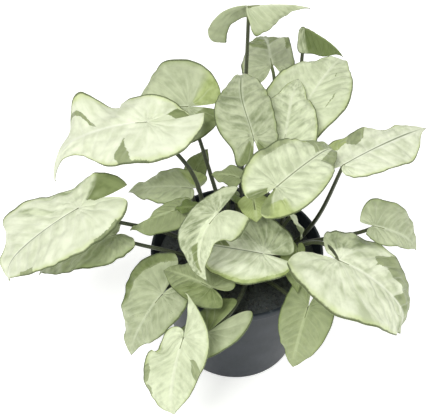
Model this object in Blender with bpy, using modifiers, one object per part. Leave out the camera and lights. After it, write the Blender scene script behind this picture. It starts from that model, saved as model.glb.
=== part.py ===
"""Arrowhead plant in its round nursery pot.

A shell of a pot holds a plug of potting mix. Five short stems stand in plain holes in the mix, and
thirty leaves spring from them, each one blade with its own stalk. Metres, +Z up, origin in the middle
of the pot's base. Looking along +Y shows the front of the plant.
"""
import math
from dataclasses import dataclass, field

import bmesh
import bpy
import numpy as np
from mathutils import Vector

CLEARANCE = 0.0003
FACET_ROOM = 0.0002
CUT_PAST = 0.002
WELD = 0.000002

POT_RIM_RADIUS = 0.076
POT_HEIGHT = 0.120
POT_BASE_RADIUS = 0.0557
POT_WALL = 0.0015
POT_FLOOR = 0.0020
POT_HEEL = 0.0025
POT_CORNER = 0.003
LIP_HEIGHT = 0.006
LIP_WIDTH = 0.0028
LIP_STEP = 0.002
LIP_SLANT = 0.0006
LIP_ROUND = 0.0008
POT_SIDES = 40
DRAIN_HOLES = 6
DRAIN_RADIUS = 0.0045
DRAIN_CIRCLE = 0.036
DRAIN_SIDES = 10

MIX_LEVEL = 0.104
MIX_SIDES = 32
MIX_RINGS = 5
MIX_RING_WIDTH = 0.014
MIX_CORNER = 0.004
MIX_LUMP = 0.001
BROAD_LUMPS = 200.0
FINE_LUMPS = 330.0
STEM_RADIUS = 0.0045
STEM_RISE = 0.025
STEM_DEPTH = 0.035
STEM_DOME = 0.004
STEM_CROWN = 0.0008
STEM_CROWN_SHARE = 0.6
STEM_TAPER = 0.8
STEM_SIDES = 16
STEM_PLACES = [(-0.024, 0.010), (0.002, 0.024), (0.032, 0.000), (0.008, -0.026), (-0.024, -0.018)]

BLADE_THICKNESS = 0.0007
CELLS = 8
SMALL_BLADE = 0.042
SMALL_CELLS = 6
WIDEST_AT = 0.12
LOBE_SHARE = 0.36
LOBE_END_EASE = 0.42
LOBE_SIDE_EASE = 0.58
LOBE_SWELL = 0.98
SIDE_EASE = 0.46
TIP_EASE = 0.60
TIP_FULLNESS = 0.20
TIP_SWELL = 0.30
SLIT_RUN = 0.45
SLIT_BEND = 0.10
SLIT_TURN = 0.25
SLIT_FADE = 4
RIB_SPREAD = 1.25
RIB_STEPS = 121
RIB_RUN_BACK = 1.05
NOD_FROM = 0.6
NOD_POWER = 1.5
WAVES = 2.3
WAVE_RISE = 2
WAVE_FALL = 5
BEND_FADE = 5

STALK_RADIUS = 0.0019
STALK_POINTS = 8
STALK_DEPTH = 0.0012
STALK_UNDER_RIB = ((0.004, 0.0009, 0.5), (0.009, 0.0006, 0.25))
FOOT_RISE = 0.008
FOOT_SWELL = 1.25
FOOT_SHARE = 0.3
NECK_SWELL = 0.8
NECK_REACH = 0.36


@dataclass
class Half:
    """One half of a blade, left or right of its midrib; sizes are shares of the blade's length."""

    width: float = 0.40
    back: float = 0.34
    out: float = 0.20
    hang: float = 15.0
    curl: float = 0.0
    wave: float = 0.002
    phase: float = 40.0
    full: float = 1.0


@dataclass
class Bend:
    """A local pull on a blade.

    side is 1 for its left half, -1 for its right one and 0 for its whole width. at and wide say where
    along the margin it acts, from 0 at the lobe's end to 1 at the tip. pull goes along the midrib, to the
    left and up, in shares of the blade's length, and a higher sharp moves the margin more alone.
    """

    side: int
    at: float
    wide: float
    pull: tuple
    sharp: float = 1.0


@dataclass
class Leaf:
    """A blade and its stalk.

    place is where the stalk meets the blade, turn is the midrib's heading, its pitch and the blade's
    roll in degrees, and length runs from the stalk to the tip. fold and curl lift the halves in degrees,
    droop and nod bend the midrib down, hook bends it sideways. foot is the side of the stem that the
    stalk springs from, spring and arrive are the stalk's slopes at its two ends.
    """

    stem: int
    foot: float
    place: tuple
    turn: tuple
    length: float
    left: Half = field(default_factory=Half)
    right: Half = field(default_factory=Half)
    fold: float = 8.0
    curl: float = -20.0
    droop: float = 25.0
    nod: float = 10.0
    hook: float = 0.0
    arrive: float = 60.0
    lean: float = 0.0
    spring: float = 72.0
    reach: float = 0.38
    rise: float = FOOT_RISE
    bends: tuple = ()


LEAVES = [
    Leaf(1, 130, (-0.076, 0.027, 0.240), (193, 6, -2), 0.096, Half(.46, .50, .04, -24, -10, .004, 150),
         Half(.36, .38, .06, 0, 20, .018, -100), droop=50, nod=80, arrive=50, spring=90, reach=.68,
         bends=(Bend(-1, .25, .12, (0, .12, 0)), Bend(-1, .46, .08, (-.10, -.03, 0)),
                Bend(-1, .68, .14, (-.18, -.16, 0)), Bend(-1, .87, .08, (.10, 0, 0)),
                Bend(1, .70, .18, (-.09, -.10, 0)), Bend(0, 1, .12, (.08, 0, -.17)))),
    Leaf(2, 180, (-0.045, 0.060, 0.230), (178, -4, -26), 0.062, Half(.56, .46, .08), Half(.74, .46, .10, 0),
         bends=(Bend(-1, .75, .15, (-.10, .05, 0)),)),
    Leaf(2, 90, (0.004, 0.101, 0.303), (2, 8, 0), 0.051, Half(.34, 1.44, .44, 106),
         Half(.50, .06, .10, 10, -30, full=.5), fold=-48, droop=18, arrive=95, spring=50,
         bends=(Bend(-1, .72, .12, (0, .15, 0)), Bend(1, 0, .08, (-.09, 0, .15), .6))),
    Leaf(2, 45, (0.055, 0.149, 0.250), (0, -26, 0), 0.049, Half(.35, .05, .1, 10),
         Half(.44, .10, .10, 10, full=.8), fold=-40, arrive=95, spring=40),
    Leaf(2, 135, (0.027, 0.144, 0.212), (95, 5, 0), 0.086, Half(.34, .24, .28, 60, -20),
         Half(.26, .24, .25, 60, -20), droop=50, arrive=60, lean=60, spring=45,
         bends=(Bend(1, .5, .15, (0, -.06, 0)), Bend(-1, 0, .15, (.08, -.05, 0), .5),
                Bend(-1, .60, .15, (.10, -.04, 0)), Bend(0, 1, .12, (.02, 0, .06)))),
    Leaf(3, 65, (0.053, 0.073, 0.219), (60, 22, -4), 0.076, Half(.54, .30, .2, 5),
         Half(.46, .46, .16, 5), nod=30, arrive=75, bends=(Bend(-1, .27, .10, (.03, .06, 0)),)),
    Leaf(3, 110, (0.036, 0.023, 0.225), (82, 14, 4), 0.075, Half(.32, .12, .15, 30),
         Half(.35, .14, .2, 30), droop=15, fold=12, arrive=80, bends=(Bend(0, 1, .2, (.03, -.04, 0)),)),
    Leaf(2, 315, (0.010, 0.008, 0.245), (104, 10, 0), 0.079, Half(.35, .33, .2, 10),
         Half(.28, .28, .06, 10), droop=20, nod=40, fold=4, arrive=80,
         bends=(Bend(1, .25, .12, (0, -.09, 0)), Bend(-1, .70, .20, (0, -.11, 0)),
                Bend(0, 1, .25, (.12, -.12, 0)))),
    Leaf(3, 245, (0.029, -0.043, 0.240), (50, 2, 14), 0.086, Half(.37, .28, .12, 10),
         Half(.31, .32, .12, 10), nod=30, arrive=50, spring=90, reach=.55),
    Leaf(3, 20, (0.084, 0.009, 0.215), (37, 4, 2), 0.096, Half(.33, .36, .20),
         Half(.17, .05, .08), droop=15, fold=-4, arrive=75, spring=30,
         bends=(Bend(-1, .62, .20, (-.04, -.16, 0)),)),
    Leaf(3, 335, (0.111, -0.027, 0.182), (6, -22, 18), 0.054, Half(.54, .24, .05, 20, -10),
         Half(.27, .14, .16, 20), droop=35, arrive=50,
         bends=(Bend(1, .65, .20, (.12, .05, 0)), Bend(0, 1, .2, (0, -.06, 0)))),
    Leaf(3, 290, (0.080, -0.061, 0.178), (-18, -10, -8), 0.096, Half(.42, .18, .22, 0),
         Half(.50, .38, .26, 0, full=1.15), droop=60, nod=30, arrive=-20, lean=-20, spring=60, rise=.005,
         bends=(Bend(1, .60, .18, (.05, .03, 0)), Bend(-1, .38, .12, (0, -.07, 0)),
                Bend(-1, .83, .08, (-.06, .02, 0)), Bend(0, 1, .15, (-.07, 0, 0)))),
    Leaf(4, 50, (0.020, -0.051, 0.172), (168, 0, -12), 0.058, Half(.54, .44, .12, 5),
         Half(.62, .42, .14, 5), droop=8, arrive=80,
         bends=(Bend(1, .25, .12, (0, -.08, 0)), Bend(1, .65, .12, (.05, .04, 0)))),
    Leaf(5, 50, (-0.016, -0.060, 0.225), (-138, -30, 0), 0.053, Half(.60, .25, .56, 0, full=.5),
         Half(.40, .38, .04, 0), droop=40, fold=22, hook=45, arrive=40, spring=90, reach=.6,
         bends=(Bend(1, .60, .15, (0, -.14, 0)), Bend(-1, 0, .12, (-.12, 0, 0)),
                Bend(-1, .30, .15, (0, .06, 0)), Bend(0, 1, .20, (-.04, .05, 0)))),
    Leaf(5, 230, (-0.060, -0.069, 0.138), (-138, -30, 10), 0.062, Half(.46, .32, .24),
         Half(.58, .50, .36), droop=40, arrive=30,
         bends=(Bend(-1, .28, .14, (0, -.18, 0)), Bend(1, .75, .15, (-.05, -.05, 0)))),
    Leaf(5, 275, (-0.039, -0.121, 0.152), (-114, -42, 8), 0.070, Half(.34, .45, -.22, 0),
         Half(.40, .09, .10), droop=35, nod=20, hook=6, arrive=0, spring=60,
         bends=(Bend(-1, .28, .14, (.20, .10, 0)), Bend(-1, .70, .20, (.08, -.06, 0)))),
    Leaf(5, 5, (-0.020, -0.075, 0.157), (152, 4, -6), 0.047, Half(.42, .34, .24), Half(.44, .34, .24)),
    Leaf(4, 275, (-0.022, -0.099, 0.129), (-150, -25, 10), 0.061, Half(.30, .64, .16, 0),
         Half(.36, .56, .14, 0), droop=40, arrive=-10, lean=-35, spring=60,
         bends=(Bend(1, .22, .16, (-.02, .13, 0)), Bend(-1, .20, .14, (0, -.08, 0)))),
    Leaf(4, 320, (0.059, -0.075, 0.135), (-114, -45, 4), 0.057, Half(.40, .36, .22),
         Half(.38, .38, .22), droop=30, arrive=20),
    Leaf(4, 5, (0.0496, -0.0352, 0.162), (-89, -17, 0), 0.038, Half(.18, .14, .08), Half(.38, .18, .20)),
    Leaf(5, 140, (-0.130, -0.024, 0.190), (-150, -14, 4), 0.092, Half(.48, .40, .22, 5),
         Half(.45, .46, .08, 0, 0, .004, 60), droop=30, nod=60, arrive=40,
         bends=(Bend(-1, 0, .10, (-.03, 0, -.13)), Bend(-1, .33, .10, (0, .14, 0)),
                Bend(-1, .60, .10, (.08, -.10, 0)))),
    Leaf(5, 185, (-0.103, -0.019, 0.154), (-176, -20, 6), 0.086, Half(.38, .22, .22),
         Half(.36, .05, .14), arrive=40),
    Leaf(1, 200, (-0.041, 0.025, 0.168), (166, -6, 0), 0.064, Half(.36, .08, .16), Half(.38, .16, .2)),
    Leaf(1, 70, (-0.041, 0.053, 0.157), (60, 40, 0), 0.028),
    Leaf(2, 225, (0.000, 0.018, 0.189), (165, 5, 0), 0.025, Half(.50, .10, .2), Half(.50, .10, .2)),
    Leaf(2, 270, (-0.003, -0.005, 0.191), (-158, 30, 0), 0.022),
    Leaf(1, 265, (-0.035, -0.019, 0.190), (190, 12, 0), 0.017, Half(.5, .2, .2), Half(.5, .2, .2), spring=90),
    Leaf(5, 95, (-0.047, -0.014, 0.182), (-170, -10, 0), 0.048, Half(.34, .20, .16), Half(.34, .20, .16),
         bends=(Bend(-1, .65, .25, (0, .22, 0)), Bend(1, .55, .25, (0, .14, 0)))),
    Leaf(3, 200, (0.012, -0.022, 0.204), (-80, -20, 0), 0.019, Half(.7, .2, .2), Half(.7, .2, .2)),
    Leaf(3, 290, (0.044, -0.025, 0.190), (20, -60, 0), 0.034, Half(.25, .30, .15),
         Half(.25, .30, .15), spring=86, rise=.019),
]


def bezier(points, t):
    """Points of a cubic curve at the values t."""
    t = np.asarray(t, float)[..., None]
    a, b, c, d = (np.array(p, float) for p in points)
    return (1 - t)**3 * a + 3 * t * (1 - t)**2 * b + 3 * t * t * (1 - t) * c + t**3 * d


def outer_edge(half, length, w):
    """Margin of one half: from the lobe's end (w=0) round its widest place to the tip (w=1)."""
    width, back, out = half.width * length, half.back * length, half.out * length
    widest = WIDEST_AT * length
    lobe = [(-back, out), (-back, out + LOBE_END_EASE * (width - out)),
            (widest - LOBE_SIDE_EASE * (widest + back), LOBE_SWELL * width), (widest, width)]
    side = [(widest, width), (widest + SIDE_EASE * half.full * length, width),
            (length * (TIP_EASE + TIP_FULLNESS * half.full), TIP_SWELL * half.full * width), (length, 0.0)]
    on_lobe = bezier(lobe, np.clip(w / LOBE_SHARE, 0, 1))
    on_side = bezier(side, np.clip((w - LOBE_SHARE) / (1 - LOBE_SHARE), 0, 1))
    return np.where((w < LOBE_SHARE)[..., None], on_lobe, on_side)


def inner_edge(half, length, s):
    """Edge of the lobe beside the slit behind the stalk, from the stalk (s=0) to the lobe's end (s=1)."""
    back, out = half.back * length, half.out * length
    return bezier([(0, 0), (-SLIT_RUN * back, SLIT_BEND * out), (-back, SLIT_TURN * out), (-back, out)], s)


def midrib(leaf, half, x):
    """Run, rise and slope of the blade's own line at the flat distance x from the stalk."""
    back = half.back * leaf.length
    flat = np.linspace(-RIB_RUN_BACK * back, leaf.length, RIB_STEPS)
    share = flat / leaf.length
    bend = -leaf.droop * share - leaf.nod * np.clip((share - NOD_FROM) / (1 - NOD_FROM), 0, 1)**NOD_POWER
    slope = np.radians(np.where(flat >= 0, bend, half.hang * np.clip(-flat / back, 0, 1)))
    step = np.diff(flat)
    run = np.concatenate([[0], np.cumsum((np.cos(slope[1:]) + np.cos(slope[:-1])) / 2 * step)])
    rise = np.concatenate([[0], np.cumsum((np.sin(slope[1:]) + np.sin(slope[:-1])) / 2 * step)])
    run -= np.interp(0, flat, run)
    rise -= np.interp(0, flat, rise)
    return np.interp(x, flat, run), np.interp(x, flat, rise), np.interp(x, flat, slope)


def bend_weight(bend, side, s, w):
    """Share of a bend's pull that places on one side take, at s out from the midrib and w along it."""
    near = np.exp(-((w - bend.at) / bend.wide)**2)
    if bend.side == 0:
        return near
    return near * (s * np.minimum(1, BEND_FADE * (1 - w)))**bend.sharp * (bend.side == side)


def half_points(leaf, half, side, s, w):
    """Points of one half in the blade's own frame: x along the midrib, y to the left, z up."""
    length, width = leaf.length, half.width * leaf.length
    rib = np.stack([length * w**RIB_SPREAD, 0 * w], -1)
    lobe_end = outer_edge(half, length, np.zeros(1))[0]
    flat = rib * (1 - s)[:, None] + outer_edge(half, length, w) * s[:, None]
    flat += (inner_edge(half, length, s) - lobe_end * s[:, None]) * ((1 - w)**SLIT_FADE)[:, None]
    x, y = flat[:, 0], flat[:, 1]
    lift = np.radians(leaf.fold + (leaf.curl + half.curl) * y / width / 2)
    ripple = half.wave * s**2 * np.minimum(1, np.minimum(WAVE_RISE * w, WAVE_FALL * (1 - w)))
    ripple *= np.sin(2 * np.pi * WAVES * w + math.radians(half.phase))
    across, up = y * np.cos(lift), y * np.sin(lift) + ripple
    run, rise, slope = midrib(leaf, half, x)
    turn = np.radians(leaf.hook * np.maximum(x, 0) / length)
    points = np.stack([run * np.cos(turn / 2) - side * across * np.sin(turn) - up * np.sin(slope),
                       run * np.sin(turn / 2) + side * across * np.cos(turn),
                       rise + up * np.cos(slope)], -1)
    for bend in leaf.bends:
        points += np.outer(bend_weight(bend, side, s, w), bend.pull) * leaf.length
    return points


def leaf_frame(leaf):
    """Rotation of the blade: its columns are the midrib, the left and the upper side."""
    heading, pitch, roll = (math.radians(v) for v in leaf.turn)
    turn = np.array([[math.cos(heading), -math.sin(heading), 0], [math.sin(heading), math.cos(heading), 0],
                     [0, 0, 1]])
    tip = np.array([[math.cos(pitch), 0, -math.sin(pitch)], [0, 1, 0], [math.sin(pitch), 0, math.cos(pitch)]])
    bank = np.array([[1, 0, 0], [0, math.cos(roll), -math.sin(roll)], [0, math.sin(roll), math.cos(roll)]])
    return turn @ tip @ bank


def blade_points(leaf, s, w):
    """World points of the blade at s (-1 right edge, 0 midrib, 1 left edge) and w (0 lobes, 1 tip)."""
    points = np.zeros((len(s), 3))
    for side, half in ((-1, leaf.right), (1, leaf.left)):
        pick = s * side >= 0
        points[pick] = half_points(leaf, half, side, np.abs(s[pick]), w[pick])
    return points @ leaf_frame(leaf).T + np.array(leaf.place)


def stalk_path(leaf):
    """Points and radius factors of the stalk, from beside its stem to its end under the midrib."""
    stem_x, stem_y = STEM_PLACES[leaf.stem - 1]
    angle, arrive, spring = (math.radians(v) for v in (leaf.foot, leaf.arrive, leaf.spring))
    offset = STEM_RADIUS + FOOT_SWELL * STALK_RADIUS * math.sin(spring) + CLEARANCE
    foot = np.array([stem_x + offset * math.cos(angle), stem_y + offset * math.sin(angle),
                     MIX_LEVEL + leaf.rise])
    frame = leaf_frame(leaf)
    place = np.array(leaf.place)
    top = place - STALK_DEPTH * frame[:, 2]
    span = top - foot
    distance = np.linalg.norm(span)
    level = math.atan2(span[1], span[0]) + math.radians(leaf.lean)
    into = np.array([math.cos(level) * math.cos(arrive), math.sin(level) * math.cos(arrive), math.sin(arrive)])
    away = np.array([math.cos(angle) * math.cos(spring), math.sin(angle) * math.cos(spring), math.sin(spring)])
    curve = bezier([foot, foot + away * leaf.reach * distance, top - into * NECK_REACH * distance, top],
                   np.linspace(0, 1, STALK_POINTS))
    factors = np.interp(np.linspace(0, 1, STALK_POINTS), [0, FOOT_SHARE, 1], [FOOT_SWELL, 1.0, NECK_SWELL])
    run_on = [place + frame @ np.array([run, 0, -depth]) for run, depth, _ in STALK_UNDER_RIB]
    return np.vstack([curve, run_on]), np.concatenate([factors, [share for _, _, share in STALK_UNDER_RIB]])


def make_material(name, colour, roughness, metallic=0.0):
    """A plain Principled material."""
    material = bpy.data.materials.new(name)
    material.use_nodes = True
    shader = material.node_tree.nodes["Principled BSDF"]
    shader.inputs["Base Color"].default_value = (*colour, 1.0)
    shader.inputs["Roughness"].default_value = roughness
    shader.inputs["Metallic"].default_value = metallic
    return material


def new_object(name, mesh, collection, material=None):
    """A mesh object in a collection."""
    obj = bpy.data.objects.new(name, mesh)
    collection.objects.link(obj)
    if material:
        mesh.materials.clear()
        mesh.materials.append(material)
    return obj


def mesh_of(bm, name):
    """A mesh datablock from a bmesh, which is freed."""
    mesh = bpy.data.meshes.new(name)
    bm.to_mesh(mesh)
    bm.free()
    return mesh


def applied(obj, merge=0.0):
    """The object's mesh with its modifiers applied, and vertices closer than merge welded."""
    graph = bpy.context.evaluated_depsgraph_get()
    mesh = bpy.data.meshes.new_from_object(obj.evaluated_get(graph))
    if merge:
        bm = bmesh.new()
        bm.from_mesh(mesh)
        bmesh.ops.remove_doubles(bm, verts=bm.verts, dist=merge)
        bm.to_mesh(mesh)
        bm.free()
    return mesh


def turned(name, profile, sides, collection, material=None):
    """A profile of (radius, height) points turned round the Z axis."""
    bm = bmesh.new()
    verts = [bm.verts.new((radius, 0.0, height)) for radius, height in profile]
    for lower, upper in zip(verts, verts[1:]):
        bm.edges.new((lower, upper))
    obj = new_object(name, mesh_of(bm, name), collection, material)
    screw = obj.modifiers.new("Screw", "SCREW")
    screw.axis = "Z"
    screw.angle = math.tau
    screw.steps = sides
    screw.render_steps = sides
    screw.use_merge_vertices = True
    screw.merge_threshold = 0.00002
    screw.use_smooth_shade = True
    return obj


def boolean(obj, other, operation):
    """Apply one Boolean modifier, drop vertices left in the middle of an edge, remove the other object."""
    modifier = obj.modifiers.new(operation.title(), "BOOLEAN")
    modifier.operation = operation
    modifier.object = other
    modifier.solver = "EXACT"
    mesh = applied(obj)
    bm = bmesh.new()
    bm.from_mesh(mesh)
    spare = [vertex for vertex in bm.verts if len(vertex.link_edges) == 2]
    bmesh.ops.dissolve_verts(bm, verts=spare)
    bm.to_mesh(mesh)
    bm.free()
    obj.modifiers.clear()
    obj.data = mesh
    bpy.data.objects.remove(other, do_unlink=True)


def drill(obj, places, radius, bottom, top, sides, cutters):
    """Cut upright round holes through an object, all in one cut."""
    bm = bmesh.new()
    for x, y in places:
        made = bmesh.ops.create_cone(bm, cap_ends=True, segments=sides, radius1=radius, radius2=radius,
                                     depth=top - bottom)
        bmesh.ops.translate(bm, verts=made["verts"], vec=Vector((x, y, (top + bottom) / 2)))
    cutter = new_object(obj.name + "_holes", mesh_of(bm, obj.name + "_holes"), cutters)
    cutter.hide_render = True
    cutter.display_type = "WIRE"
    boolean(obj, cutter, "DIFFERENCE")


def wall_radius(height):
    """Outer radius of the pot's wall below its lip."""
    top = POT_RIM_RADIUS - LIP_STEP
    return POT_BASE_RADIUS + (top - POT_BASE_RADIUS) * height / (POT_HEIGHT - LIP_HEIGHT)


def make_pot(collection, cutters, material):
    """The shell of the pot: tapered wall, thin lip and a flat base with drain holes off its middle."""
    inside_lip = POT_RIM_RADIUS - LIP_WIDTH
    lip_foot = POT_HEIGHT - LIP_HEIGHT
    profile = [(0.0, POT_FLOOR), (wall_radius(0) - POT_WALL - POT_CORNER, POT_FLOOR),
               (wall_radius(POT_CORNER) - POT_WALL, POT_FLOOR + POT_CORNER),
               (wall_radius(lip_foot) - POT_WALL, lip_foot),
               (inside_lip, POT_HEIGHT - LIP_ROUND), (inside_lip + LIP_ROUND, POT_HEIGHT),
               (POT_RIM_RADIUS - LIP_ROUND, POT_HEIGHT), (POT_RIM_RADIUS, POT_HEIGHT - LIP_ROUND),
               (POT_RIM_RADIUS, lip_foot), (wall_radius(lip_foot), lip_foot - LIP_SLANT),
               (wall_radius(POT_HEEL), POT_HEEL), (wall_radius(0) - POT_HEEL, 0.0), (0.0, 0.0)]
    pot = turned("pot", profile, POT_SIDES, collection, material)
    places = [(DRAIN_CIRCLE * math.cos(math.tau * i / DRAIN_HOLES),
               DRAIN_CIRCLE * math.sin(math.tau * i / DRAIN_HOLES)) for i in range(DRAIN_HOLES)]
    drill(pot, places, DRAIN_RADIUS, -CUT_PAST, POT_FLOOR + CUT_PAST, DRAIN_SIDES, cutters)


def mix_surface(x, y):
    """Height of the potting mix's top: broad lumps with finer ones across them."""
    broad = math.sin(BROAD_LUMPS * x) * math.cos(BROAD_LUMPS * y)
    fine = math.sin(FINE_LUMPS * (x + y)) / 2
    return MIX_LEVEL + MIX_LUMP * (broad + fine)


def make_mix(collection, cutters, material):
    """The plug of potting mix, with its uneven top and a plain hole for each stem."""
    inset = POT_WALL + CLEARANCE + FACET_ROOM
    floor = POT_FLOOR + CLEARANCE
    edge = wall_radius(MIX_LEVEL) - inset
    profile = [(ring * MIX_RING_WIDTH, MIX_LEVEL) for ring in range(MIX_RINGS)]
    profile += [(edge, MIX_LEVEL), (wall_radius(floor + MIX_CORNER) - inset, floor + MIX_CORNER),
                (wall_radius(0) - inset - MIX_CORNER, floor), (0.0, floor)]
    plug = turned("potting_mix", profile, MIX_SIDES, collection, material)
    mesh = applied(plug, WELD)
    plug.modifiers.clear()
    plug.data = mesh
    for vertex in mesh.vertices:
        on_top = vertex.co.z > MIX_LEVEL - CLEARANCE
        if on_top and math.hypot(vertex.co.x, vertex.co.y) < edge - MIX_CORNER:
            vertex.co.z = mix_surface(vertex.co.x, vertex.co.y)
    bottom = MIX_LEVEL - STEM_DEPTH - CLEARANCE
    top = MIX_LEVEL + CUT_PAST + MIX_LUMP
    drill(plug, STEM_PLACES, STEM_RADIUS + CLEARANCE + FACET_ROOM, bottom, top, STEM_SIDES, cutters)


def make_stems(collection, material):
    """Five short stems, each a round cane with a domed top, standing in its hole in the mix."""
    top, bottom = MIX_LEVEL + STEM_RISE, MIX_LEVEL - STEM_DEPTH
    profile = [(0.0, top), (STEM_RADIUS * STEM_CROWN_SHARE, top - STEM_CROWN), (STEM_RADIUS, top - STEM_DOME),
               (STEM_RADIUS, MIX_LEVEL), (STEM_RADIUS * STEM_TAPER, bottom), (0.0, bottom)]
    for number, (x, y) in enumerate(STEM_PLACES, 1):
        stem = turned(f"stem_{number}", profile, STEM_SIDES, collection, material)
        stem.location = (x, y, 0.0)


def make_blade(name, leaf, collection, material):
    """A blade: a grid bent by the leaf's formula, split into triangles and given its thickness."""
    bm = bmesh.new()
    cells = CELLS if leaf.length > SMALL_BLADE else SMALL_CELLS
    bmesh.ops.create_grid(bm, x_segments=cells, y_segments=cells, size=1.0)
    bm.verts.ensure_lookup_table()
    flat = np.array([v.co for v in bm.verts])
    for vertex, point in zip(bm.verts, blade_points(leaf, flat[:, 0].round(6), (flat[:, 1] + 1) / 2)):
        vertex.co = point
    bmesh.ops.remove_doubles(bm, verts=bm.verts, dist=0.00001)
    bmesh.ops.triangulate(bm, faces=bm.faces)
    blade = new_object(name, mesh_of(bm, name), collection, material)
    solidify = blade.modifiers.new("Solidify", "SOLIDIFY")
    solidify.thickness = BLADE_THICKNESS
    solidify.offset = 0.0
    return blade


def make_stalk(name, leaf, collection):
    """A leaf's stalk as a mesh tube with welded caps."""
    points, factors = stalk_path(leaf)
    curve = bpy.data.curves.new(name, "CURVE")
    curve.dimensions = "3D"
    curve.bevel_depth = STALK_RADIUS
    curve.bevel_resolution = 1
    curve.use_fill_caps = True
    spline = curve.splines.new("POLY")
    spline.points.add(len(points) - 1)
    for knot, point, factor in zip(spline.points, points, factors):
        knot.co = (*point, 1.0)
        knot.radius = factor
    tube = bpy.data.objects.new(name, curve)
    collection.objects.link(tube)
    stalk = new_object(name + "_tube", applied(tube, WELD), collection)
    stalk.matrix_world = tube.matrix_world
    bpy.data.objects.remove(tube, do_unlink=True)
    return stalk


def make_leaves(collection, material):
    """Every leaf: its blade and its stalk joined in one solid."""
    for number, leaf in enumerate(LEAVES, 1):
        name = f"leaf_{number:02d}"
        blade = make_blade(name, leaf, collection, material)
        stalk = make_stalk(name + "_stalk", leaf, collection)
        boolean(blade, stalk, "UNION")


def new_collection(name):
    """A collection linked to the scene."""
    collection = bpy.data.collections.new(name)
    bpy.context.scene.collection.children.link(collection)
    return collection


def main():
    """Build the whole plant in its pot."""
    for obj in list(bpy.data.objects):
        bpy.data.objects.remove(obj, do_unlink=True)
    plant = new_collection("arrowhead_plant")
    cutters = new_collection("cutters")
    plastic = make_material("pot_plastic", (0.065, 0.072, 0.082), 0.55)
    mix = make_material("potting_mix", (0.030, 0.024, 0.020), 0.95)
    cane = make_material("stem_green", (0.16, 0.20, 0.09), 0.60)
    leaf = make_material("leaf_cream", (0.74, 0.80, 0.52), 0.50)
    make_pot(plant, cutters, plastic)
    make_mix(plant, cutters, mix)
    make_stems(plant, cane)
    make_leaves(plant, leaf)


main()
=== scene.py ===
"""Potted arrowhead plant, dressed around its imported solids.

Thirty leaves, each a thin waved blade with raised veins on its own stalk, rise from five short stems in
loose potting mix, in a round nursery pot. Metres, +Z up. Each leaf follows the same formula as its
solid, on a finer grid, so every piece stays where the frame has it.
"""
from __future__ import annotations

import logging
import math
from dataclasses import dataclass, field
from enum import Enum
from typing import Any

import bmesh
import bpy
import numpy as np
from mathutils import Matrix, Vector

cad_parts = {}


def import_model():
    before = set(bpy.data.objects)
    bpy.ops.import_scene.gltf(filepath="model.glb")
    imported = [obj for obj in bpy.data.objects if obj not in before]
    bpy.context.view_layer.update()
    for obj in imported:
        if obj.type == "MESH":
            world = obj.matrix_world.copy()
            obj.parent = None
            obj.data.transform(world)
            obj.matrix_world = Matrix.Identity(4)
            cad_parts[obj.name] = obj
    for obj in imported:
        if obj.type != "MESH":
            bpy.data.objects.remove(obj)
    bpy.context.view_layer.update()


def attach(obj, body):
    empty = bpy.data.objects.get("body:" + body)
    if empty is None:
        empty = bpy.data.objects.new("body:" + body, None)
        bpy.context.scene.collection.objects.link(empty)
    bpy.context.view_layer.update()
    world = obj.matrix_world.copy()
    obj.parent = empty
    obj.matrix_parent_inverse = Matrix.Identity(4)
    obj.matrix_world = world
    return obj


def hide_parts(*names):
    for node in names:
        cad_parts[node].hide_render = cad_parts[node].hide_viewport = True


LOG = logging.getLogger("arrowhead_plant")
Colour = tuple[float, float, float]
Array = np.ndarray
Section = list[tuple[float, float]]

MERGE = 0.000002
SHARP_BLADE = math.radians(55)
SHARP_TURNED = math.radians(40)


def paint(code: str) -> Colour:
    """Turn a screen colour into linear light.

    Args:
        code: A hash and six hex digits.

    Returns:
        Red, green and blue in linear light.
    """
    parts = (int(code[at:at + 2], 16) / 255 for at in (1, 3, 5))
    red, green, blue = (p / 12.92 if p <= 0.04045 else ((p + 0.055) / 1.055) ** 2.4 for p in parts)
    return red, green, blue


class Socket:
    """The output of a node. Arithmetic on it adds the Math nodes that the expression needs."""

    def __init__(self, graph: Graph, link: bpy.types.NodeSocket) -> None:
        """Wrap one output of a node in a graph."""
        self.graph = graph
        self.link = link

    def math(self, operation: str, *others: Any) -> Socket:
        """Apply one Math operation, with this socket as its first value.

        Args:
            operation: The Math node's operation.
            others: Its further values, each a number or a Socket.

        Returns:
            The result.
        """
        return self.graph.node("ShaderNodeMath", {"operation": operation}, (self, *others))

    def __add__(self, other: Any) -> Socket:
        """Add a number or a socket."""
        return self.math("ADD", other)

    def __sub__(self, other: Any) -> Socket:
        """Take away a number or a socket."""
        return self.math("SUBTRACT", other)

    def __rsub__(self, other: float) -> Socket:
        """Take this socket away from a number."""
        return self.graph.node("ShaderNodeMath", {"operation": "SUBTRACT"}, (other, self))

    def __mul__(self, other: Any) -> Socket:
        """Multiply by a number or a socket."""
        return self.math("MULTIPLY", other)

    def __truediv__(self, other: Any) -> Socket:
        """Divide by a number or a socket."""
        return self.math("DIVIDE", other)

    def __abs__(self) -> Socket:
        """Drop the sign."""
        return self.math("ABSOLUTE")

    __radd__ = __add__
    __rmul__ = __mul__


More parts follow.
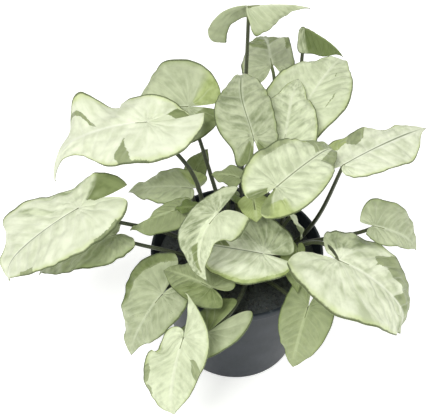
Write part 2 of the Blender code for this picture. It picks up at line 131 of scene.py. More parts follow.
class Graph:
    """A shader or geometry node tree, with one method that adds any node."""

    def __init__(self, tree: bpy.types.NodeTree) -> None:
        """Wrap a node tree."""
        self.tree = tree

    def node(self, kind: str, settings: dict[str, Any] | None = None, values: Any = (),
             output: int | str = 0) -> Socket:
        """Add a node, set it up and link what feeds it.

        Args:
            kind: The node's type.
            settings: Its properties, set first.
            values: What its inputs take, in order or as a dict of name or number to value.
            output: Name or number of the output to return.

        Returns:
            That output.
        """
        made = self.tree.nodes.new(kind)
        for name, value in (settings or {}).items():
            setattr(made, name, value)
        pairs = values.items() if isinstance(values, dict) else enumerate(values)
        for key, value in pairs:
            self.feed(made.inputs[key], value)
        return Socket(self, made.outputs[output])

    def feed(self, socket: bpy.types.NodeSocket, value: Any) -> None:
        """Link a socket to a value, or store a plain value in it.

        Args:
            socket: The input that takes the value.
            value: A Socket, or a plain value, which is a hash and six hex digits for a colour.
        """
        if isinstance(value, Socket):
            self.tree.links.new(value.link, socket)
        elif socket.type == "RGBA":
            socket.default_value = (*paint(value), 1.0)
        else:
            socket.default_value = value


class Surface(Graph):
    """A material on the Principled shader, and the patterns that its finishes are made of."""

    def __init__(self, name: str) -> None:
        """Make an empty material."""
        self.material = bpy.data.materials.new(name)
        self.material.use_nodes = True
        super().__init__(self.material.node_tree)
        self.shader = self.tree.nodes["Principled BSDF"]
        self.place = self.node("ShaderNodeTexCoord", output="Object")

    def attribute(self, name: str) -> Socket:
        """Read a number that the mesh stores at each vertex."""
        return self.node("ShaderNodeAttribute", {"attribute_name": name}, output="Fac")

    def noise(self, scale: float, detail: float = 3.0, rough: float = 0.55,
              at: Socket | None = None) -> Socket:
        """Smooth noise.

        Args:
            scale: Bumps per unit of the place.
            detail: Octaves of finer noise.
            rough: Share of the finer octaves.
            at: The place to read it at; the object's own metres if left out.

        Returns:
            The noise, from 0 to 1.
        """
        return self.node("ShaderNodeTexNoise", {}, {"Vector": at or self.place, "Scale": scale,
                                                    "Detail": detail, "Roughness": rough})

    def cells(self, scale: float, feature: str = "DISTANCE_TO_EDGE") -> Socket:
        """Distance in a pattern of cells, to their edges or to their middles."""
        return self.node("ShaderNodeTexVoronoi", {"feature": feature},
                         {"Vector": self.place, "Scale": scale}, output="Distance")

    def step(self, value: Socket, low: Any, high: Any) -> Socket:
        """Rise smoothly from 0 to 1 as a value goes from low to high; low may be the larger."""
        return self.node("ShaderNodeMapRange", {"interpolation_type": "SMOOTHSTEP"},
                         {"Value": value, "From Min": low, "From Max": high})

    def mix(self, factor: Any, first: Any, second: Any) -> Socket:
        """Blend two colours; factor 0 gives the first and 1 the second."""
        return self.node("ShaderNodeMix", {"data_type": "RGBA"}, {0: factor, 6: first, 7: second}, output=2)

    def vector(self, x: Any, y: Any, z: Any) -> Socket:
        """A place put together from three numbers."""
        return self.node("ShaderNodeCombineXYZ", {}, (x, y, z))

    def stretched(self, *scale: float) -> Socket:
        """The object's own place, scaled along each axis by its own amount."""
        return self.node("ShaderNodeVectorMath", {"operation": "MULTIPLY"}, (self.place, scale))

    def dress(self, colour: Any, roughness: Any, height: Socket | None = None, depth: float = 0.0002,
              **shader: float) -> bpy.types.Material:
        """Finish the material.

        Args:
            colour: Base colour.
            roughness: Roughness.
            height: Relief for the bump, from 0 to 1, if any.
            depth: What a relief of 1 stands for, in metres.
            shader: Plain values of further sockets, with _ for each space in a socket's name.

        Returns:
            The finished material.
        """
        self.feed(self.shader.inputs["Base Color"], colour)
        self.feed(self.shader.inputs["Roughness"], roughness)
        if height is not None:
            bump = self.node("ShaderNodeBump", {}, {"Strength": 1.0, "Distance": depth, "Height": height})
            self.feed(self.shader.inputs["Normal"], bump)
        for name, value in shader.items():
            self.shader.inputs[name.replace("_", " ")].default_value = value
        return self.material


@dataclass(frozen=True)
class BladeColours:
    """Colours of one family: the ground, the mottling between the veins, the margin, vein and underside."""

    ground: str
    shade: str
    margin: str
    vein: str
    under: str


class Tone(Enum):
    """The colour families of the leaves, from the palest to the darkest; the darkest is painted shade."""

    CREAM = BladeColours("#f1f7da", "#b9c49b", "#cbd992", "#fafdea", "#b9c49c")
    PALE = BladeColours("#e2ebc6", "#9ca87e", "#b5c47e", "#f0f5da", "#a8b48c")
    SAGE = BladeColours("#c6cfa9", "#88946c", "#a0af76", "#dde4c7", "#98a580")
    LIME = BladeColours("#b9c785", "#98a862", "#9fae5c", "#d3deab", "#94a468")
    GREEN = BladeColours("#a3ae80", "#88946a", "#8fa05f", "#c3cea0", "#909f6d")
    OLIVE = BladeColours("#8d9a66", "#72804c", "#7d8b50", "#a9b585", "#7b8959")
    # painted shade: the darkest family is put on leaves that sit in shade
    DARK = BladeColours("#6d7d44", "#526230", "#66773a", "#8fa062", "#5f6f40")


class Side(Enum):
    """The two sides of the midrib, seen from above with the tip ahead."""

    LEFT = 1.0
    RIGHT = -1.0


@dataclass(frozen=True)
class Patch:
    """A sector of another green between two lateral veins; the olive ones on leaves 14 and 15 are painted
    shade.

    start and end are its places along the veins' own scale, which is 0 at the stalk, rises towards the
    tip and falls into the lobes. inner and outer are shares of the way from the midrib to the margin,
    soft is how far its long edges fade, on the veins' scale, wedge is how far out it takes to reach its
    full width, and slant is how much it shifts along that scale from the midrib to the margin.
    """

    side: Side
    start: float
    end: float
    inner: float
    outer: float
    tone: Tone
    soft: float = 0.004
    wedge: float = 0.02
    slant: float = 0.0


@dataclass(frozen=True)
class Look:
    """How one blade is coloured: its family, its sectors, and how strongly it takes each marking."""

    tone: Tone
    patches: tuple[Patch, ...] = ()
    mottle: float = 0.6
    margin: float = 0.16
    # whether a dark line is painted along the midrib as shade in its groove
    painted_rib_shade: bool = False
    specks: float = 0.0
    under: float = 0.8


CLEARANCE = 0.0003
WIDEST_AT = 0.12
LOBE_SHARE = 0.36
LOBE_END_EASE = 0.42
LOBE_SIDE_EASE = 0.58
LOBE_SWELL = 0.98
SIDE_EASE = 0.46
TIP_EASE = 0.60
TIP_FULLNESS = 0.20
TIP_SWELL = 0.30
SLIT_RUN = 0.45
SLIT_BEND = 0.10
SLIT_TURN = 0.25
SLIT_FADE = 4
RIB_SPREAD = 1.25
RIB_STEPS = 121
RIB_RUN_BACK = 1.05
NOD_FROM = 0.6
NOD_POWER = 1.5
WAVES = 2.3
WAVE_RISE = 2
WAVE_FALL = 5
BEND_FADE = 5

MIX_LEVEL = 0.104
STEM_RADIUS = 0.0045
STEM_PLACES = [(-0.024, 0.010), (0.002, 0.024), (0.032, 0.000), (0.008, -0.026), (-0.024, -0.018)]
STALK_RADIUS = 0.0019
STALK_DEPTH = 0.0012
STALK_UNDER_RIB = ((0.004, 0.0009, 0.5), (0.009, 0.0006, 0.25))
FOOT_RISE = 0.008
FOOT_SWELL = 1.25
FOOT_SHARE = 0.3
NECK_SWELL = 0.8
NECK_REACH = 0.36


def bezier(points: list[Any], t: Array) -> Array:
    """Points of a cubic curve.

    Args:
        points: Its four control points.
        t: Where to read it, from 0 to 1.

    Returns:
        One point for each value.
    """
    t = np.asarray(t, float)[..., None]
    a, b, c, d = (np.array(p, float) for p in points)
    return (1 - t)**3 * a + 3 * t * (1 - t)**2 * b + 3 * t * t * (1 - t) * c + t**3 * d


def ray(level: float, rise: float) -> Array:
    """Unit vector at a heading and a slope, both in radians."""
    return np.array([math.cos(level) * math.cos(rise), math.sin(level) * math.cos(rise), math.sin(rise)])


def smooth(value: Array, low: float, high: float) -> Array:
    """Rise smoothly from 0 to 1 as a value goes from low to high."""
    share = np.clip((value - low) / (high - low), 0, 1)
    return share * share * (3 - 2 * share)


@dataclass
class Half:
    """One half of a blade, left or right of its midrib; sizes are shares of the blade's length."""

    width: float = 0.40
    back: float = 0.34
    out: float = 0.20
    hang: float = 15.0
    curl: float = 0.0
    wave: float = 0.002
    phase: float = 40.0
    full: float = 1.0

    def outer_edge(self, length: float, w: Array) -> Array:
        """Margin from the lobe's end (w=0) round its widest place to the tip (w=1), in metres."""
        width, back, out = self.width * length, self.back * length, self.out * length
        widest = WIDEST_AT * length
        lobe = [(-back, out), (-back, out + LOBE_END_EASE * (width - out)),
                (widest - LOBE_SIDE_EASE * (widest + back), LOBE_SWELL * width), (widest, width)]
        side = [(widest, width), (widest + SIDE_EASE * self.full * length, width),
                (length * (TIP_EASE + TIP_FULLNESS * self.full), TIP_SWELL * self.full * width),
                (length, 0.0)]
        on_lobe = bezier(lobe, np.clip(w / LOBE_SHARE, 0, 1))
        on_side = bezier(side, np.clip((w - LOBE_SHARE) / (1 - LOBE_SHARE), 0, 1))
        return np.where((w < LOBE_SHARE)[..., None], on_lobe, on_side)

    def inner_edge(self, length: float, s: Array) -> Array:
        """Edge of the lobe beside the slit, from the stalk (s=0) to the lobe's end (s=1), in metres."""
        back, out = self.back * length, self.out * length
        knots = [(0, 0), (-SLIT_RUN * back, SLIT_BEND * out), (-back, SLIT_TURN * out), (-back, out)]
        return bezier(knots, s)

    def flat(self, length: float, s: Array, w: Array) -> Array:
        """Places in the flat blade: along the midrib and out from it, in metres.

        Args:
            length: The blade's length, from its stalk to its tip.
            s: 0 on the midrib and 1 on the margin.
            w: 0 at the lobe's end and 1 at the tip.

        Returns:
            A pair of numbers for each place.
        """
        rib = np.stack([length * w**RIB_SPREAD, 0 * w], -1)
        lobe_end = self.outer_edge(length, np.zeros(1))[0]
        flat = rib * (1 - s)[:, None] + self.outer_edge(length, w) * s[:, None]
        slit = self.inner_edge(length, s) - lobe_end * s[:, None]
        return flat + slit * ((1 - w)**SLIT_FADE)[:, None]


@dataclass
class Bend:
    """A local pull on a blade.

    side is 1 for its left half, -1 for its right one and 0 for its whole width. at and wide say where
    along the margin it acts, from 0 at the lobe's end to 1 at the tip. pull goes along the midrib, to the
    left and up, in shares of the blade's length, and a higher sharp moves the margin more alone.
    """

    side: int
    at: float
    wide: float
    pull: tuple[float, float, float]
    sharp: float = 1.0

    def weight(self, side: float, s: Array, w: Array) -> Array:
        """Share of the pull that places on one side take, at s out from the midrib and w along it."""
        near = np.exp(-((w - self.at) / self.wide)**2)
        if self.side == 0:
            return near
        return near * (s * np.minimum(1, BEND_FADE * (1 - w)))**self.sharp * (self.side == side)


@dataclass
class Leaf:
    """A blade and its stalk.

    place is where the stalk meets the blade, turn is the midrib's heading, its pitch and the blade's
    roll in degrees, and length runs from the stalk to the tip. fold and curl lift the halves in degrees,
    droop and nod bend the midrib down, hook bends it sideways. foot is the side of the stem that the
    stalk springs from, spring and arrive are the stalk's slopes at its two ends.
    """

    stem: int
    foot: float
    place: tuple[float, float, float]
    turn: tuple[float, float, float]
    length: float
    left: Half = field(default_factory=Half)
    right: Half = field(default_factory=Half)
    fold: float = 8.0
    curl: float = -20.0
    droop: float = 25.0
    nod: float = 10.0
    hook: float = 0.0
    arrive: float = 60.0
    lean: float = 0.0
    spring: float = 72.0
    reach: float = 0.38
    rise: float = FOOT_RISE
    bends: tuple[Bend, ...] = ()

    def half(self, side: Side) -> Half:
        """The half of the blade on one side."""
        return self.left if side is Side.LEFT else self.right

    def frame(self) -> Array:
        """Rotation of the blade: its columns are the midrib, the left and the upper side."""
        angles = (math.radians(angle) for angle in self.turn)
        (c1, s1), (c2, s2), (c3, s3) = ((math.cos(angle), math.sin(angle)) for angle in angles)
        heading = np.array([[c1, -s1, 0], [s1, c1, 0], [0, 0, 1]])
        pitch = np.array([[c2, 0, -s2], [0, 1, 0], [s2, 0, c2]])
        roll = np.array([[1, 0, 0], [0, c3, -s3], [0, s3, c3]])
        return heading @ pitch @ roll

    def midrib(self, half: Half, x: Array) -> tuple[Array, Array, Array]:
        """Run, rise and slope of the blade's own line at the flat distance x from the stalk."""
        back = half.back * self.length
        flat = np.linspace(-RIB_RUN_BACK * back, self.length, RIB_STEPS)
        share = flat / self.length
        bend = -self.droop * share - self.nod * np.clip((share - NOD_FROM) / (1 - NOD_FROM), 0, 1)**NOD_POWER
        slope = np.radians(np.where(flat >= 0, bend, half.hang * np.clip(-flat / back, 0, 1)))
        step = np.diff(flat)
        sums = [np.concatenate([[0], np.cumsum((part(slope[1:]) + part(slope[:-1])) / 2 * step)])
                for part in (np.cos, np.sin)]
        run, rise = (total - np.interp(0, flat, total) for total in sums)
        return np.interp(x, flat, run), np.interp(x, flat, rise), np.interp(x, flat, slope)

    def half_points(self, side: Side, s: Array, w: Array) -> Array:
        """Points of one half in the blade's own frame: x along the midrib, y to the left, z up.

        Args:
            side: The half.
            s: 0 on the midrib and 1 on the margin.
            w: 0 at the lobe's end and 1 at the tip.

        Returns:
            One point for each place, in metres.
        """
        half, sign = self.half(side), side.value
        x, y = half.flat(self.length, s, w).T
        lift = np.radians(self.fold + (self.curl + half.curl) * y / (half.width * self.length) / 2)
        ripple = half.wave * s**2 * np.minimum(1, np.minimum(WAVE_RISE * w, WAVE_FALL * (1 - w)))
        ripple *= np.sin(2 * np.pi * WAVES * w + math.radians(half.phase))
        across, up = y * np.cos(lift), y * np.sin(lift) + ripple
        run, rise, slope = self.midrib(half, x)
        turn = np.radians(self.hook * np.maximum(x, 0) / self.length)
        points = np.stack([run * np.cos(turn / 2) - sign * across * np.sin(turn) - up * np.sin(slope),
                           run * np.sin(turn / 2) + sign * across * np.cos(turn),
                           rise + up * np.cos(slope)], -1)
        for bend in self.bends:
            points += np.outer(bend.weight(sign, s, w), bend.pull) * self.length
        return points

    def stalk_path(self, steps: int) -> tuple[Array, Array]:
        """Route of the stalk, from beside its stem to its end under the midrib.

        Args:
            steps: Points on the free part of the stalk.

        Returns:
            The points, and the stalk's radius at each.
        """
        stem_x, stem_y = STEM_PLACES[self.stem - 1]
        angle, arrive, spring = (math.radians(v) for v in (self.foot, self.arrive, self.spring))
        offset = STEM_RADIUS + FOOT_SWELL * STALK_RADIUS * math.sin(spring) + CLEARANCE
        foot = np.array([stem_x + offset * math.cos(angle), stem_y + offset * math.sin(angle),
                         MIX_LEVEL + self.rise])
        frame = self.frame()
        place = np.array(self.place)
        top = place - STALK_DEPTH * frame[:, 2]
        span = top - foot
        distance = float(np.linalg.norm(span))
        level = math.atan2(span[1], span[0]) + math.radians(self.lean)
        into, away = ray(level, arrive), ray(angle, spring)
        knots = [foot, foot + away * self.reach * distance, top - into * NECK_REACH * distance, top]
        share = np.linspace(0, 1, steps)
        factors = np.interp(share, [0, FOOT_SHARE, 1], [FOOT_SWELL, 1.0, NECK_SWELL])
        run_on = [place + frame @ np.array([run, 0, -depth]) for run, depth, _ in STALK_UNDER_RIB]
        factors = np.concatenate([factors, [thin for _, _, thin in STALK_UNDER_RIB]])
        return np.vstack([bezier(knots, share), run_on]), factors * STALK_RADIUS


LEAVES = [
    Leaf(1, 130, (-0.076, 0.027, 0.240), (193, 6, -2), 0.096, Half(.46, .50, .04, -24, -10, .004, 150),
         Half(.36, .38, .06, 0, 20, .018, -100), droop=50, nod=80, arrive=50, spring=90, reach=.68,
         bends=(Bend(-1, .25, .12, (0, .12, 0)), Bend(-1, .46, .08, (-.10, -.03, 0)),
                Bend(-1, .68, .14, (-.18, -.16, 0)), Bend(-1, .87, .08, (.10, 0, 0)),
                Bend(1, .70, .18, (-.09, -.10, 0)), Bend(0, 1, .12, (.08, 0, -.17)))),
    Leaf(2, 180, (-0.045, 0.060, 0.230), (178, -4, -26), 0.062, Half(.56, .46, .08), Half(.74, .46, .10, 0),
         bends=(Bend(-1, .75, .15, (-.10, .05, 0)),)),
    Leaf(2, 90, (0.004, 0.101, 0.303), (2, 8, 0), 0.051, Half(.34, 1.44, .44, 106),
         Half(.50, .06, .10, 10, -30, full=.5), fold=-48, droop=18, arrive=95, spring=50,
         bends=(Bend(-1, .72, .12, (0, .15, 0)), Bend(1, 0, .08, (-.09, 0, .15), .6))),
    Leaf(2, 45, (0.055, 0.149, 0.250), (0, -26, 0), 0.049, Half(.35, .05, .1, 10),
         Half(.44, .10, .10, 10, full=.8), fold=-40, arrive=95, spring=40),
    Leaf(2, 135, (0.027, 0.144, 0.212), (95, 5, 0), 0.086, Half(.34, .24, .28, 60, -20),
         Half(.26, .24, .25, 60, -20), droop=50, arrive=60, lean=60, spring=45,
         bends=(Bend(1, .5, .15, (0, -.06, 0)), Bend(-1, 0, .15, (.08, -.05, 0), .5),
                Bend(-1, .60, .15, (.10, -.04, 0)), Bend(0, 1, .12, (.02, 0, .06)))),
    Leaf(3, 65, (0.053, 0.073, 0.219), (60, 22, -4), 0.076, Half(.54, .30, .2, 5),
         Half(.46, .46, .16, 5), nod=30, arrive=75, bends=(Bend(-1, .27, .10, (.03, .06, 0)),)),
    Leaf(3, 110, (0.036, 0.023, 0.225), (82, 14, 4), 0.075, Half(.32, .12, .15, 30),
         Half(.35, .14, .2, 30), droop=15, fold=12, arrive=80, bends=(Bend(0, 1, .2, (.03, -.04, 0)),)),
    Leaf(2, 315, (0.010, 0.008, 0.245), (104, 10, 0), 0.079, Half(.35, .33, .2, 10),
         Half(.28, .28, .06, 10), droop=20, nod=40, fold=4, arrive=80,
         bends=(Bend(1, .25, .12, (0, -.09, 0)), Bend(-1, .70, .20, (0, -.11, 0)),
                Bend(0, 1, .25, (.12, -.12, 0)))),
    Leaf(3, 245, (0.029, -0.043, 0.240), (50, 2, 14), 0.086, Half(.37, .28, .12, 10),
         Half(.31, .32, .12, 10), nod=30, arrive=50, spring=90, reach=.55),
    Leaf(3, 20, (0.084, 0.009, 0.215), (37, 4, 2), 0.096, Half(.33, .36, .20),
         Half(.17, .05, .08), droop=15, fold=-4, arrive=75, spring=30,
         bends=(Bend(-1, .62, .20, (-.04, -.16, 0)),)),
    Leaf(3, 335, (0.111, -0.027, 0.182), (6, -22, 18), 0.054, Half(.54, .24, .05, 20, -10),
         Half(.27, .14, .16, 20), droop=35, arrive=50,
         bends=(Bend(1, .65, .20, (.12, .05, 0)), Bend(0, 1, .2, (0, -.06, 0)))),
    Leaf(3, 290, (0.080, -0.061, 0.178), (-18, -10, -8), 0.096, Half(.42, .18, .22, 0),
         Half(.50, .38, .26, 0, full=1.15), droop=60, nod=30, arrive=-20, lean=-20, spring=60, rise=.005,
         bends=(Bend(1, .60, .18, (.05, .03, 0)), Bend(-1, .38, .12, (0, -.07, 0)),
                Bend(-1, .83, .08, (-.06, .02, 0)), Bend(0, 1, .15, (-.07, 0, 0)))),
    Leaf(4, 50, (0.020, -0.051, 0.172), (168, 0, -12), 0.058, Half(.54, .44, .12, 5),
         Half(.62, .42, .14, 5), droop=8, arrive=80,
         bends=(Bend(1, .25, .12, (0, -.08, 0)), Bend(1, .65, .12, (.05, .04, 0)))),
    Leaf(5, 50, (-0.016, -0.060, 0.225), (-138, -30, 0), 0.053, Half(.60, .25, .56, 0, full=.5),
         Half(.40, .38, .04, 0), droop=40, fold=22, hook=45, arrive=40, spring=90, reach=.6,
         bends=(Bend(1, .60, .15, (0, -.14, 0)), Bend(-1, 0, .12, (-.12, 0, 0)),
                Bend(-1, .30, .15, (0, .06, 0)), Bend(0, 1, .20, (-.04, .05, 0)))),
    Leaf(5, 230, (-0.060, -0.069, 0.138), (-138, -30, 10), 0.062, Half(.46, .32, .24),
         Half(.58, .50, .36), droop=40, arrive=30,
         bends=(Bend(-1, .28, .14, (0, -.18, 0)), Bend(1, .75, .15, (-.05, -.05, 0)))),
    Leaf(5, 275, (-0.039, -0.121, 0.152), (-114, -42, 8), 0.070, Half(.34, .45, -.22, 0),
         Half(.40, .09, .10), droop=35, nod=20, hook=6, arrive=0, spring=60,
         bends=(Bend(-1, .28, .14, (.20, .10, 0)), Bend(-1, .70, .20, (.08, -.06, 0)))),
    Leaf(5, 5, (-0.020, -0.075, 0.157), (152, 4, -6), 0.047, Half(.42, .34, .24), Half(.44, .34, .24)),
    Leaf(4, 275, (-0.022, -0.099, 0.129), (-150, -25, 10), 0.061, Half(.30, .64, .16, 0),
         Half(.36, .56, .14, 0), droop=40, arrive=-10, lean=-35, spring=60,
         bends=(Bend(1, .22, .16, (-.02, .13, 0)), Bend(-1, .20, .14, (0, -.08, 0)))),
    Leaf(4, 320, (0.059, -0.075, 0.135), (-114, -45, 4), 0.057, Half(.40, .36, .22),
         Half(.38, .38, .22), droop=30, arrive=20),
    Leaf(4, 5, (0.0496, -0.0352, 0.162), (-89, -17, 0), 0.038, Half(.18, .14, .08), Half(.38, .18, .20)),
    Leaf(5, 140, (-0.130, -0.024, 0.190), (-150, -14, 4), 0.092, Half(.48, .40, .22, 5),
         Half(.45, .46, .08, 0, 0, .004, 60), droop=30, nod=60, arrive=40,
         bends=(Bend(-1, 0, .10, (-.03, 0, -.13)), Bend(-1, .33, .10, (0, .14, 0)),
                Bend(-1, .60, .10, (.08, -.10, 0)))),
    Leaf(5, 185, (-0.103, -0.019, 0.154), (-176, -20, 6), 0.086, Half(.38, .22, .22),
         Half(.36, .05, .14), arrive=40),
    Leaf(1, 200, (-0.041, 0.025, 0.168), (166, -6, 0), 0.064, Half(.36, .08, .16), Half(.38, .16, .2)),
    Leaf(1, 70, (-0.041, 0.053, 0.157), (60, 40, 0), 0.028),
    Leaf(2, 225, (0.000, 0.018, 0.189), (165, 5, 0), 0.025, Half(.50, .10, .2), Half(.50, .10, .2)),
    Leaf(2, 270, (-0.003, -0.005, 0.191), (-158, 30, 0), 0.022),
    Leaf(1, 265, (-0.035, -0.019, 0.190), (190, 12, 0), 0.017, Half(.5, .2, .2), Half(.5, .2, .2), spring=90),
    Leaf(5, 95, (-0.047, -0.014, 0.182), (-170, -10, 0), 0.048, Half(.34, .20, .16), Half(.34, .20, .16),
         bends=(Bend(-1, .65, .25, (0, .22, 0)), Bend(1, .55, .25, (0, .14, 0)))),
    Leaf(3, 200, (0.012, -0.022, 0.204), (-80, -20, 0), 0.019, Half(.7, .2, .2), Half(.7, .2, .2)),
    Leaf(3, 290, (0.044, -0.025, 0.190), (20, -60, 0), 0.034, Half(.25, .30, .15),
         Half(.25, .30, .15), spring=86, rise=.019),
]

LEFT, RIGHT = Side
CREAM, PALE, SAGE, LIME, GREEN, OLIVE, DARK = Tone
LOOKS = {
    1: Look(CREAM, (Patch(LEFT, .05, .13, .36, 1, GREEN, wedge=.4, slant=-.26),
                    Patch(LEFT, -.17, -.06, .93, 1, GREEN),
                    Patch(RIGHT, .44, .49, .18, 1, GREEN, wedge=.1, slant=.24),
                    Patch(RIGHT, -.72, -.56, .5, .9, OLIVE)), mottle=.5),
    2: Look(SAGE, (Patch(LEFT, -.9, -.36, .35, 1, OLIVE, .05),
                   Patch(RIGHT, -.9, -.45, .2, 1, LIME, .06))),
    3: Look(SAGE, under=.1, mottle=.5),
    # leaves 4, 26 and 27 take the darkest family, which is painted shade
    4: Look(DARK, (Patch(RIGHT, -.9, -.12, 0, 1, SAGE, .03),)),
    5: Look(SAGE, (Patch(LEFT, .28, 1.3, 0, 1, OLIVE, .03), Patch(RIGHT, .40, 1.3, 0, 1, OLIVE, .03),
                   Patch(RIGHT, .10, .42, .75, 1, OLIVE, .02))),
    6: Look(PALE, (Patch(RIGHT, -.14, .07, .54, .57, OLIVE), Patch(RIGHT, .42, .49, .36, .39, OLIVE))),
    7: Look(PALE, mottle=.9),
    8: Look(SAGE, (Patch(LEFT, -.9, -.42, .3, 1, OLIVE, .05),
                   Patch(RIGHT, -.9, -.50, .3, 1, OLIVE, .05)), mottle=1.0, painted_rib_shade=True),
    9: Look(PALE, (Patch(LEFT, .60, .95, .1, 1, GREEN), Patch(LEFT, -.05, .30, .78, 1, GREEN, .05),
                   Patch(RIGHT, .50, .92, .30, 1, GREEN), Patch(RIGHT, -.60, -.35, .55, 1, LIME, .05),
                   Patch(RIGHT, -.95, -.56, .1, .9, OLIVE, .02),
                   Patch(LEFT, -.95, -.50, .3, .9, OLIVE, .02)), margin=.22, painted_rib_shade=True),
    10: Look(CREAM, (Patch(LEFT, .10, .30, .42, 1, GREEN, wedge=.2),
                     Patch(LEFT, -.12, .10, .6, 1, LIME)), mottle=.7, painted_rib_shade=True),
    11: Look(SAGE),
    12: Look(CREAM, (Patch(LEFT, .12, .32, .35, 1, GREEN, wedge=.3), Patch(LEFT, .30, .56, .45, 1, GREEN),
                     Patch(LEFT, .56, 1.1, .02, 1, GREEN), Patch(RIGHT, .54, 1.1, .35, 1, SAGE, .02),
                     Patch(LEFT, -.60, -.02, .45, 1, SAGE, .05)), mottle=.9),
    13: Look(CREAM, (Patch(RIGHT, -.95, .44, .25, 1, SAGE, .12), Patch(RIGHT, .44, .70, .03, .42, OLIVE),
                     Patch(LEFT, -.95, .95, .86, 1, LIME, .05)), margin=.3, mottle=.8, painted_rib_shade=True),
    # leaf 14's olive strip beside the midrib near the tip is painted shade in the valley of its fold
    14: Look(PALE, (Patch(RIGHT, -.9, .9, .20, 1, SAGE, .08),
                    Patch(RIGHT, .42, .85, .12, .42, OLIVE, .02))),
    # leaf 15's olive band along its right lobe's margin is painted shade
    15: Look(SAGE, (Patch(RIGHT, -.60, -.05, .74, 1, OLIVE, .04),), specks=1.0),
    16: Look(PALE, (Patch(RIGHT, .05, .30, .75, 1, GREEN, wedge=.1),
                    Patch(RIGHT, .34, .50, .78, 1, GREEN, wedge=.1),
                    Patch(LEFT, .05, .19, .38, .95, GREEN, wedge=.3))),
    17: Look(GREEN, (Patch(LEFT, -.9, .35, .1, 1, OLIVE, .08),), mottle=.9),
    18: Look(SAGE, (Patch(RIGHT, -.9, 0, 0, 1, OLIVE, .05),)),
    19: Look(GREEN, mottle=.8, specks=.4),
    20: Look(OLIVE),
    21: Look(CREAM, (Patch(RIGHT, .02, .16, .35, .80, PALE, .05), Patch(LEFT, -.36, -.18, .90, 1, GREEN),
                     Patch(LEFT, .38, .62, .82, 1, GREEN), Patch(RIGHT, -.45, -.12, .80, 1, PALE, .03),
                     Patch(RIGHT, -.95, -.52, .25, 1, OLIVE, .02)), mottle=.5, painted_rib_shade=True),
    22: Look(SAGE, mottle=.9),
    23: Look(SAGE, (Patch(RIGHT, -.45, -.05, .3, 1, LIME, .04),)),
    24: Look(OLIVE),
    25: Look(GREEN),
    26: Look(DARK),
    27: Look(DARK),
    28: Look(GREEN),
    29: Look(LIME),
    30: Look(PALE),
}


def linked(name: str, data: bpy.types.ID) -> bpy.types.Object:
    """Put a mesh, curve, light or camera in the scene as a new object."""
    made = bpy.data.objects.new(name, data)
    bpy.context.scene.collection.objects.link(made)
    return made


def mesh_object(name: str, mesh: bpy.types.Mesh, *materials: bpy.types.Material) -> bpy.types.Object:
    """Put a mesh in the scene.

    Args:
        name: The piece's name.
        mesh: Its mesh, already in place.
        materials: What its material slots hold.

    Returns:
        The new object.
    """
    piece = linked(name, mesh)
    for material in materials:
        mesh.materials.append(material)
    return piece


def to_mesh(name: str, bm: bmesh.types.BMesh) -> bpy.types.Mesh:
    """Write an edit mesh to a new mesh and free it."""
    mesh = bpy.data.meshes.new(name)
    bm.to_mesh(mesh)
    bm.free()
    return mesh


def merge(mesh: bpy.types.Mesh, outwards: bool = False) -> None:
    """Merge a mesh's doubled points.

    Args:
        mesh: The mesh.
        outwards: Whether its faces are turned outwards too.
    """
    bm = bmesh.new()
    bm.from_mesh(mesh)
    bmesh.ops.remove_doubles(bm, verts=bm.verts, dist=MERGE)
    if outwards:
        bmesh.ops.recalc_face_normals(bm, faces=bm.faces)
    bm.to_mesh(mesh)
    bm.free()


def evaluated(piece: bpy.types.Object) -> bpy.types.Mesh:
    """One plain mesh of an object with its modifiers."""
    graph = bpy.context.evaluated_depsgraph_get()
    return bpy.data.meshes.new_from_object(piece.evaluated_get(graph))


def bake_in(piece: bpy.types.Object) -> None:
    """Apply an object's modifiers to its own mesh."""
    mesh = evaluated(piece)
    piece.modifiers.clear()
    piece.data = mesh


class NodeShape(Graph):
    """A Geometry Nodes tree with named inputs, and the modifier that runs it."""

    def __init__(self, name: str) -> None:
        """Make an empty tree with one geometry input and output."""
        super().__init__(bpy.data.node_groups.new(name, "GeometryNodeTree"))
        self.tree.interface.new_socket("Geometry", in_out="INPUT", socket_type="NodeSocketGeometry")
        self.tree.interface.new_socket("Geometry", in_out="OUTPUT", socket_type="NodeSocketGeometry")
        self.entry = self.tree.nodes.new("NodeGroupInput")
        self.exit = self.tree.nodes.new("NodeGroupOutput")

    def given(self, name: str, kind: str) -> Socket:
        """Add a named input and return it.

        Args:
            name: The input's name.
            kind: Float, Int, Material or another socket type's short name.

        Returns:
            The input, for the tree's own nodes.
        """
        self.tree.interface.new_socket(name, in_out="INPUT", socket_type="NodeSocket" + kind)
        return Socket(self, self.entry.outputs[name])

    def start(self) -> Socket:
        """The geometry that comes in."""
        return Socket(self, self.entry.outputs["Geometry"])

    def close(self, shape: Socket, material: Socket) -> None:
        """Make instances real, give them their material and send them out."""
        real = self.node("GeometryNodeRealizeInstances", {}, (shape,))
        dressed = self.node("GeometryNodeSetMaterial", {}, {"Geometry": real, "Material": material})
        self.feed(self.exit.inputs[0], dressed)

    def run(self, piece: bpy.types.Object, **given: Any) -> bpy.types.Mesh:
        """Run the tree on an object and return the plain mesh that it makes.

        Args:
            piece: The object that goes in, which is removed.
            given: A value for each named input, with _ for a space.

        Returns:
            The mesh.
        """
        modifier = piece.modifiers.new("Shape", "NODES")
        modifier.node_group = self.tree
        sockets = {s.name: s.identifier for s in self.tree.interface.items_tree if s.in_out == "INPUT"}
        for name, value in given.items():
            modifier[sockets[name.replace("_", " ")]] = value
        mesh = evaluated(piece)
        bpy.data.objects.remove(piece, do_unlink=True)
        return mesh


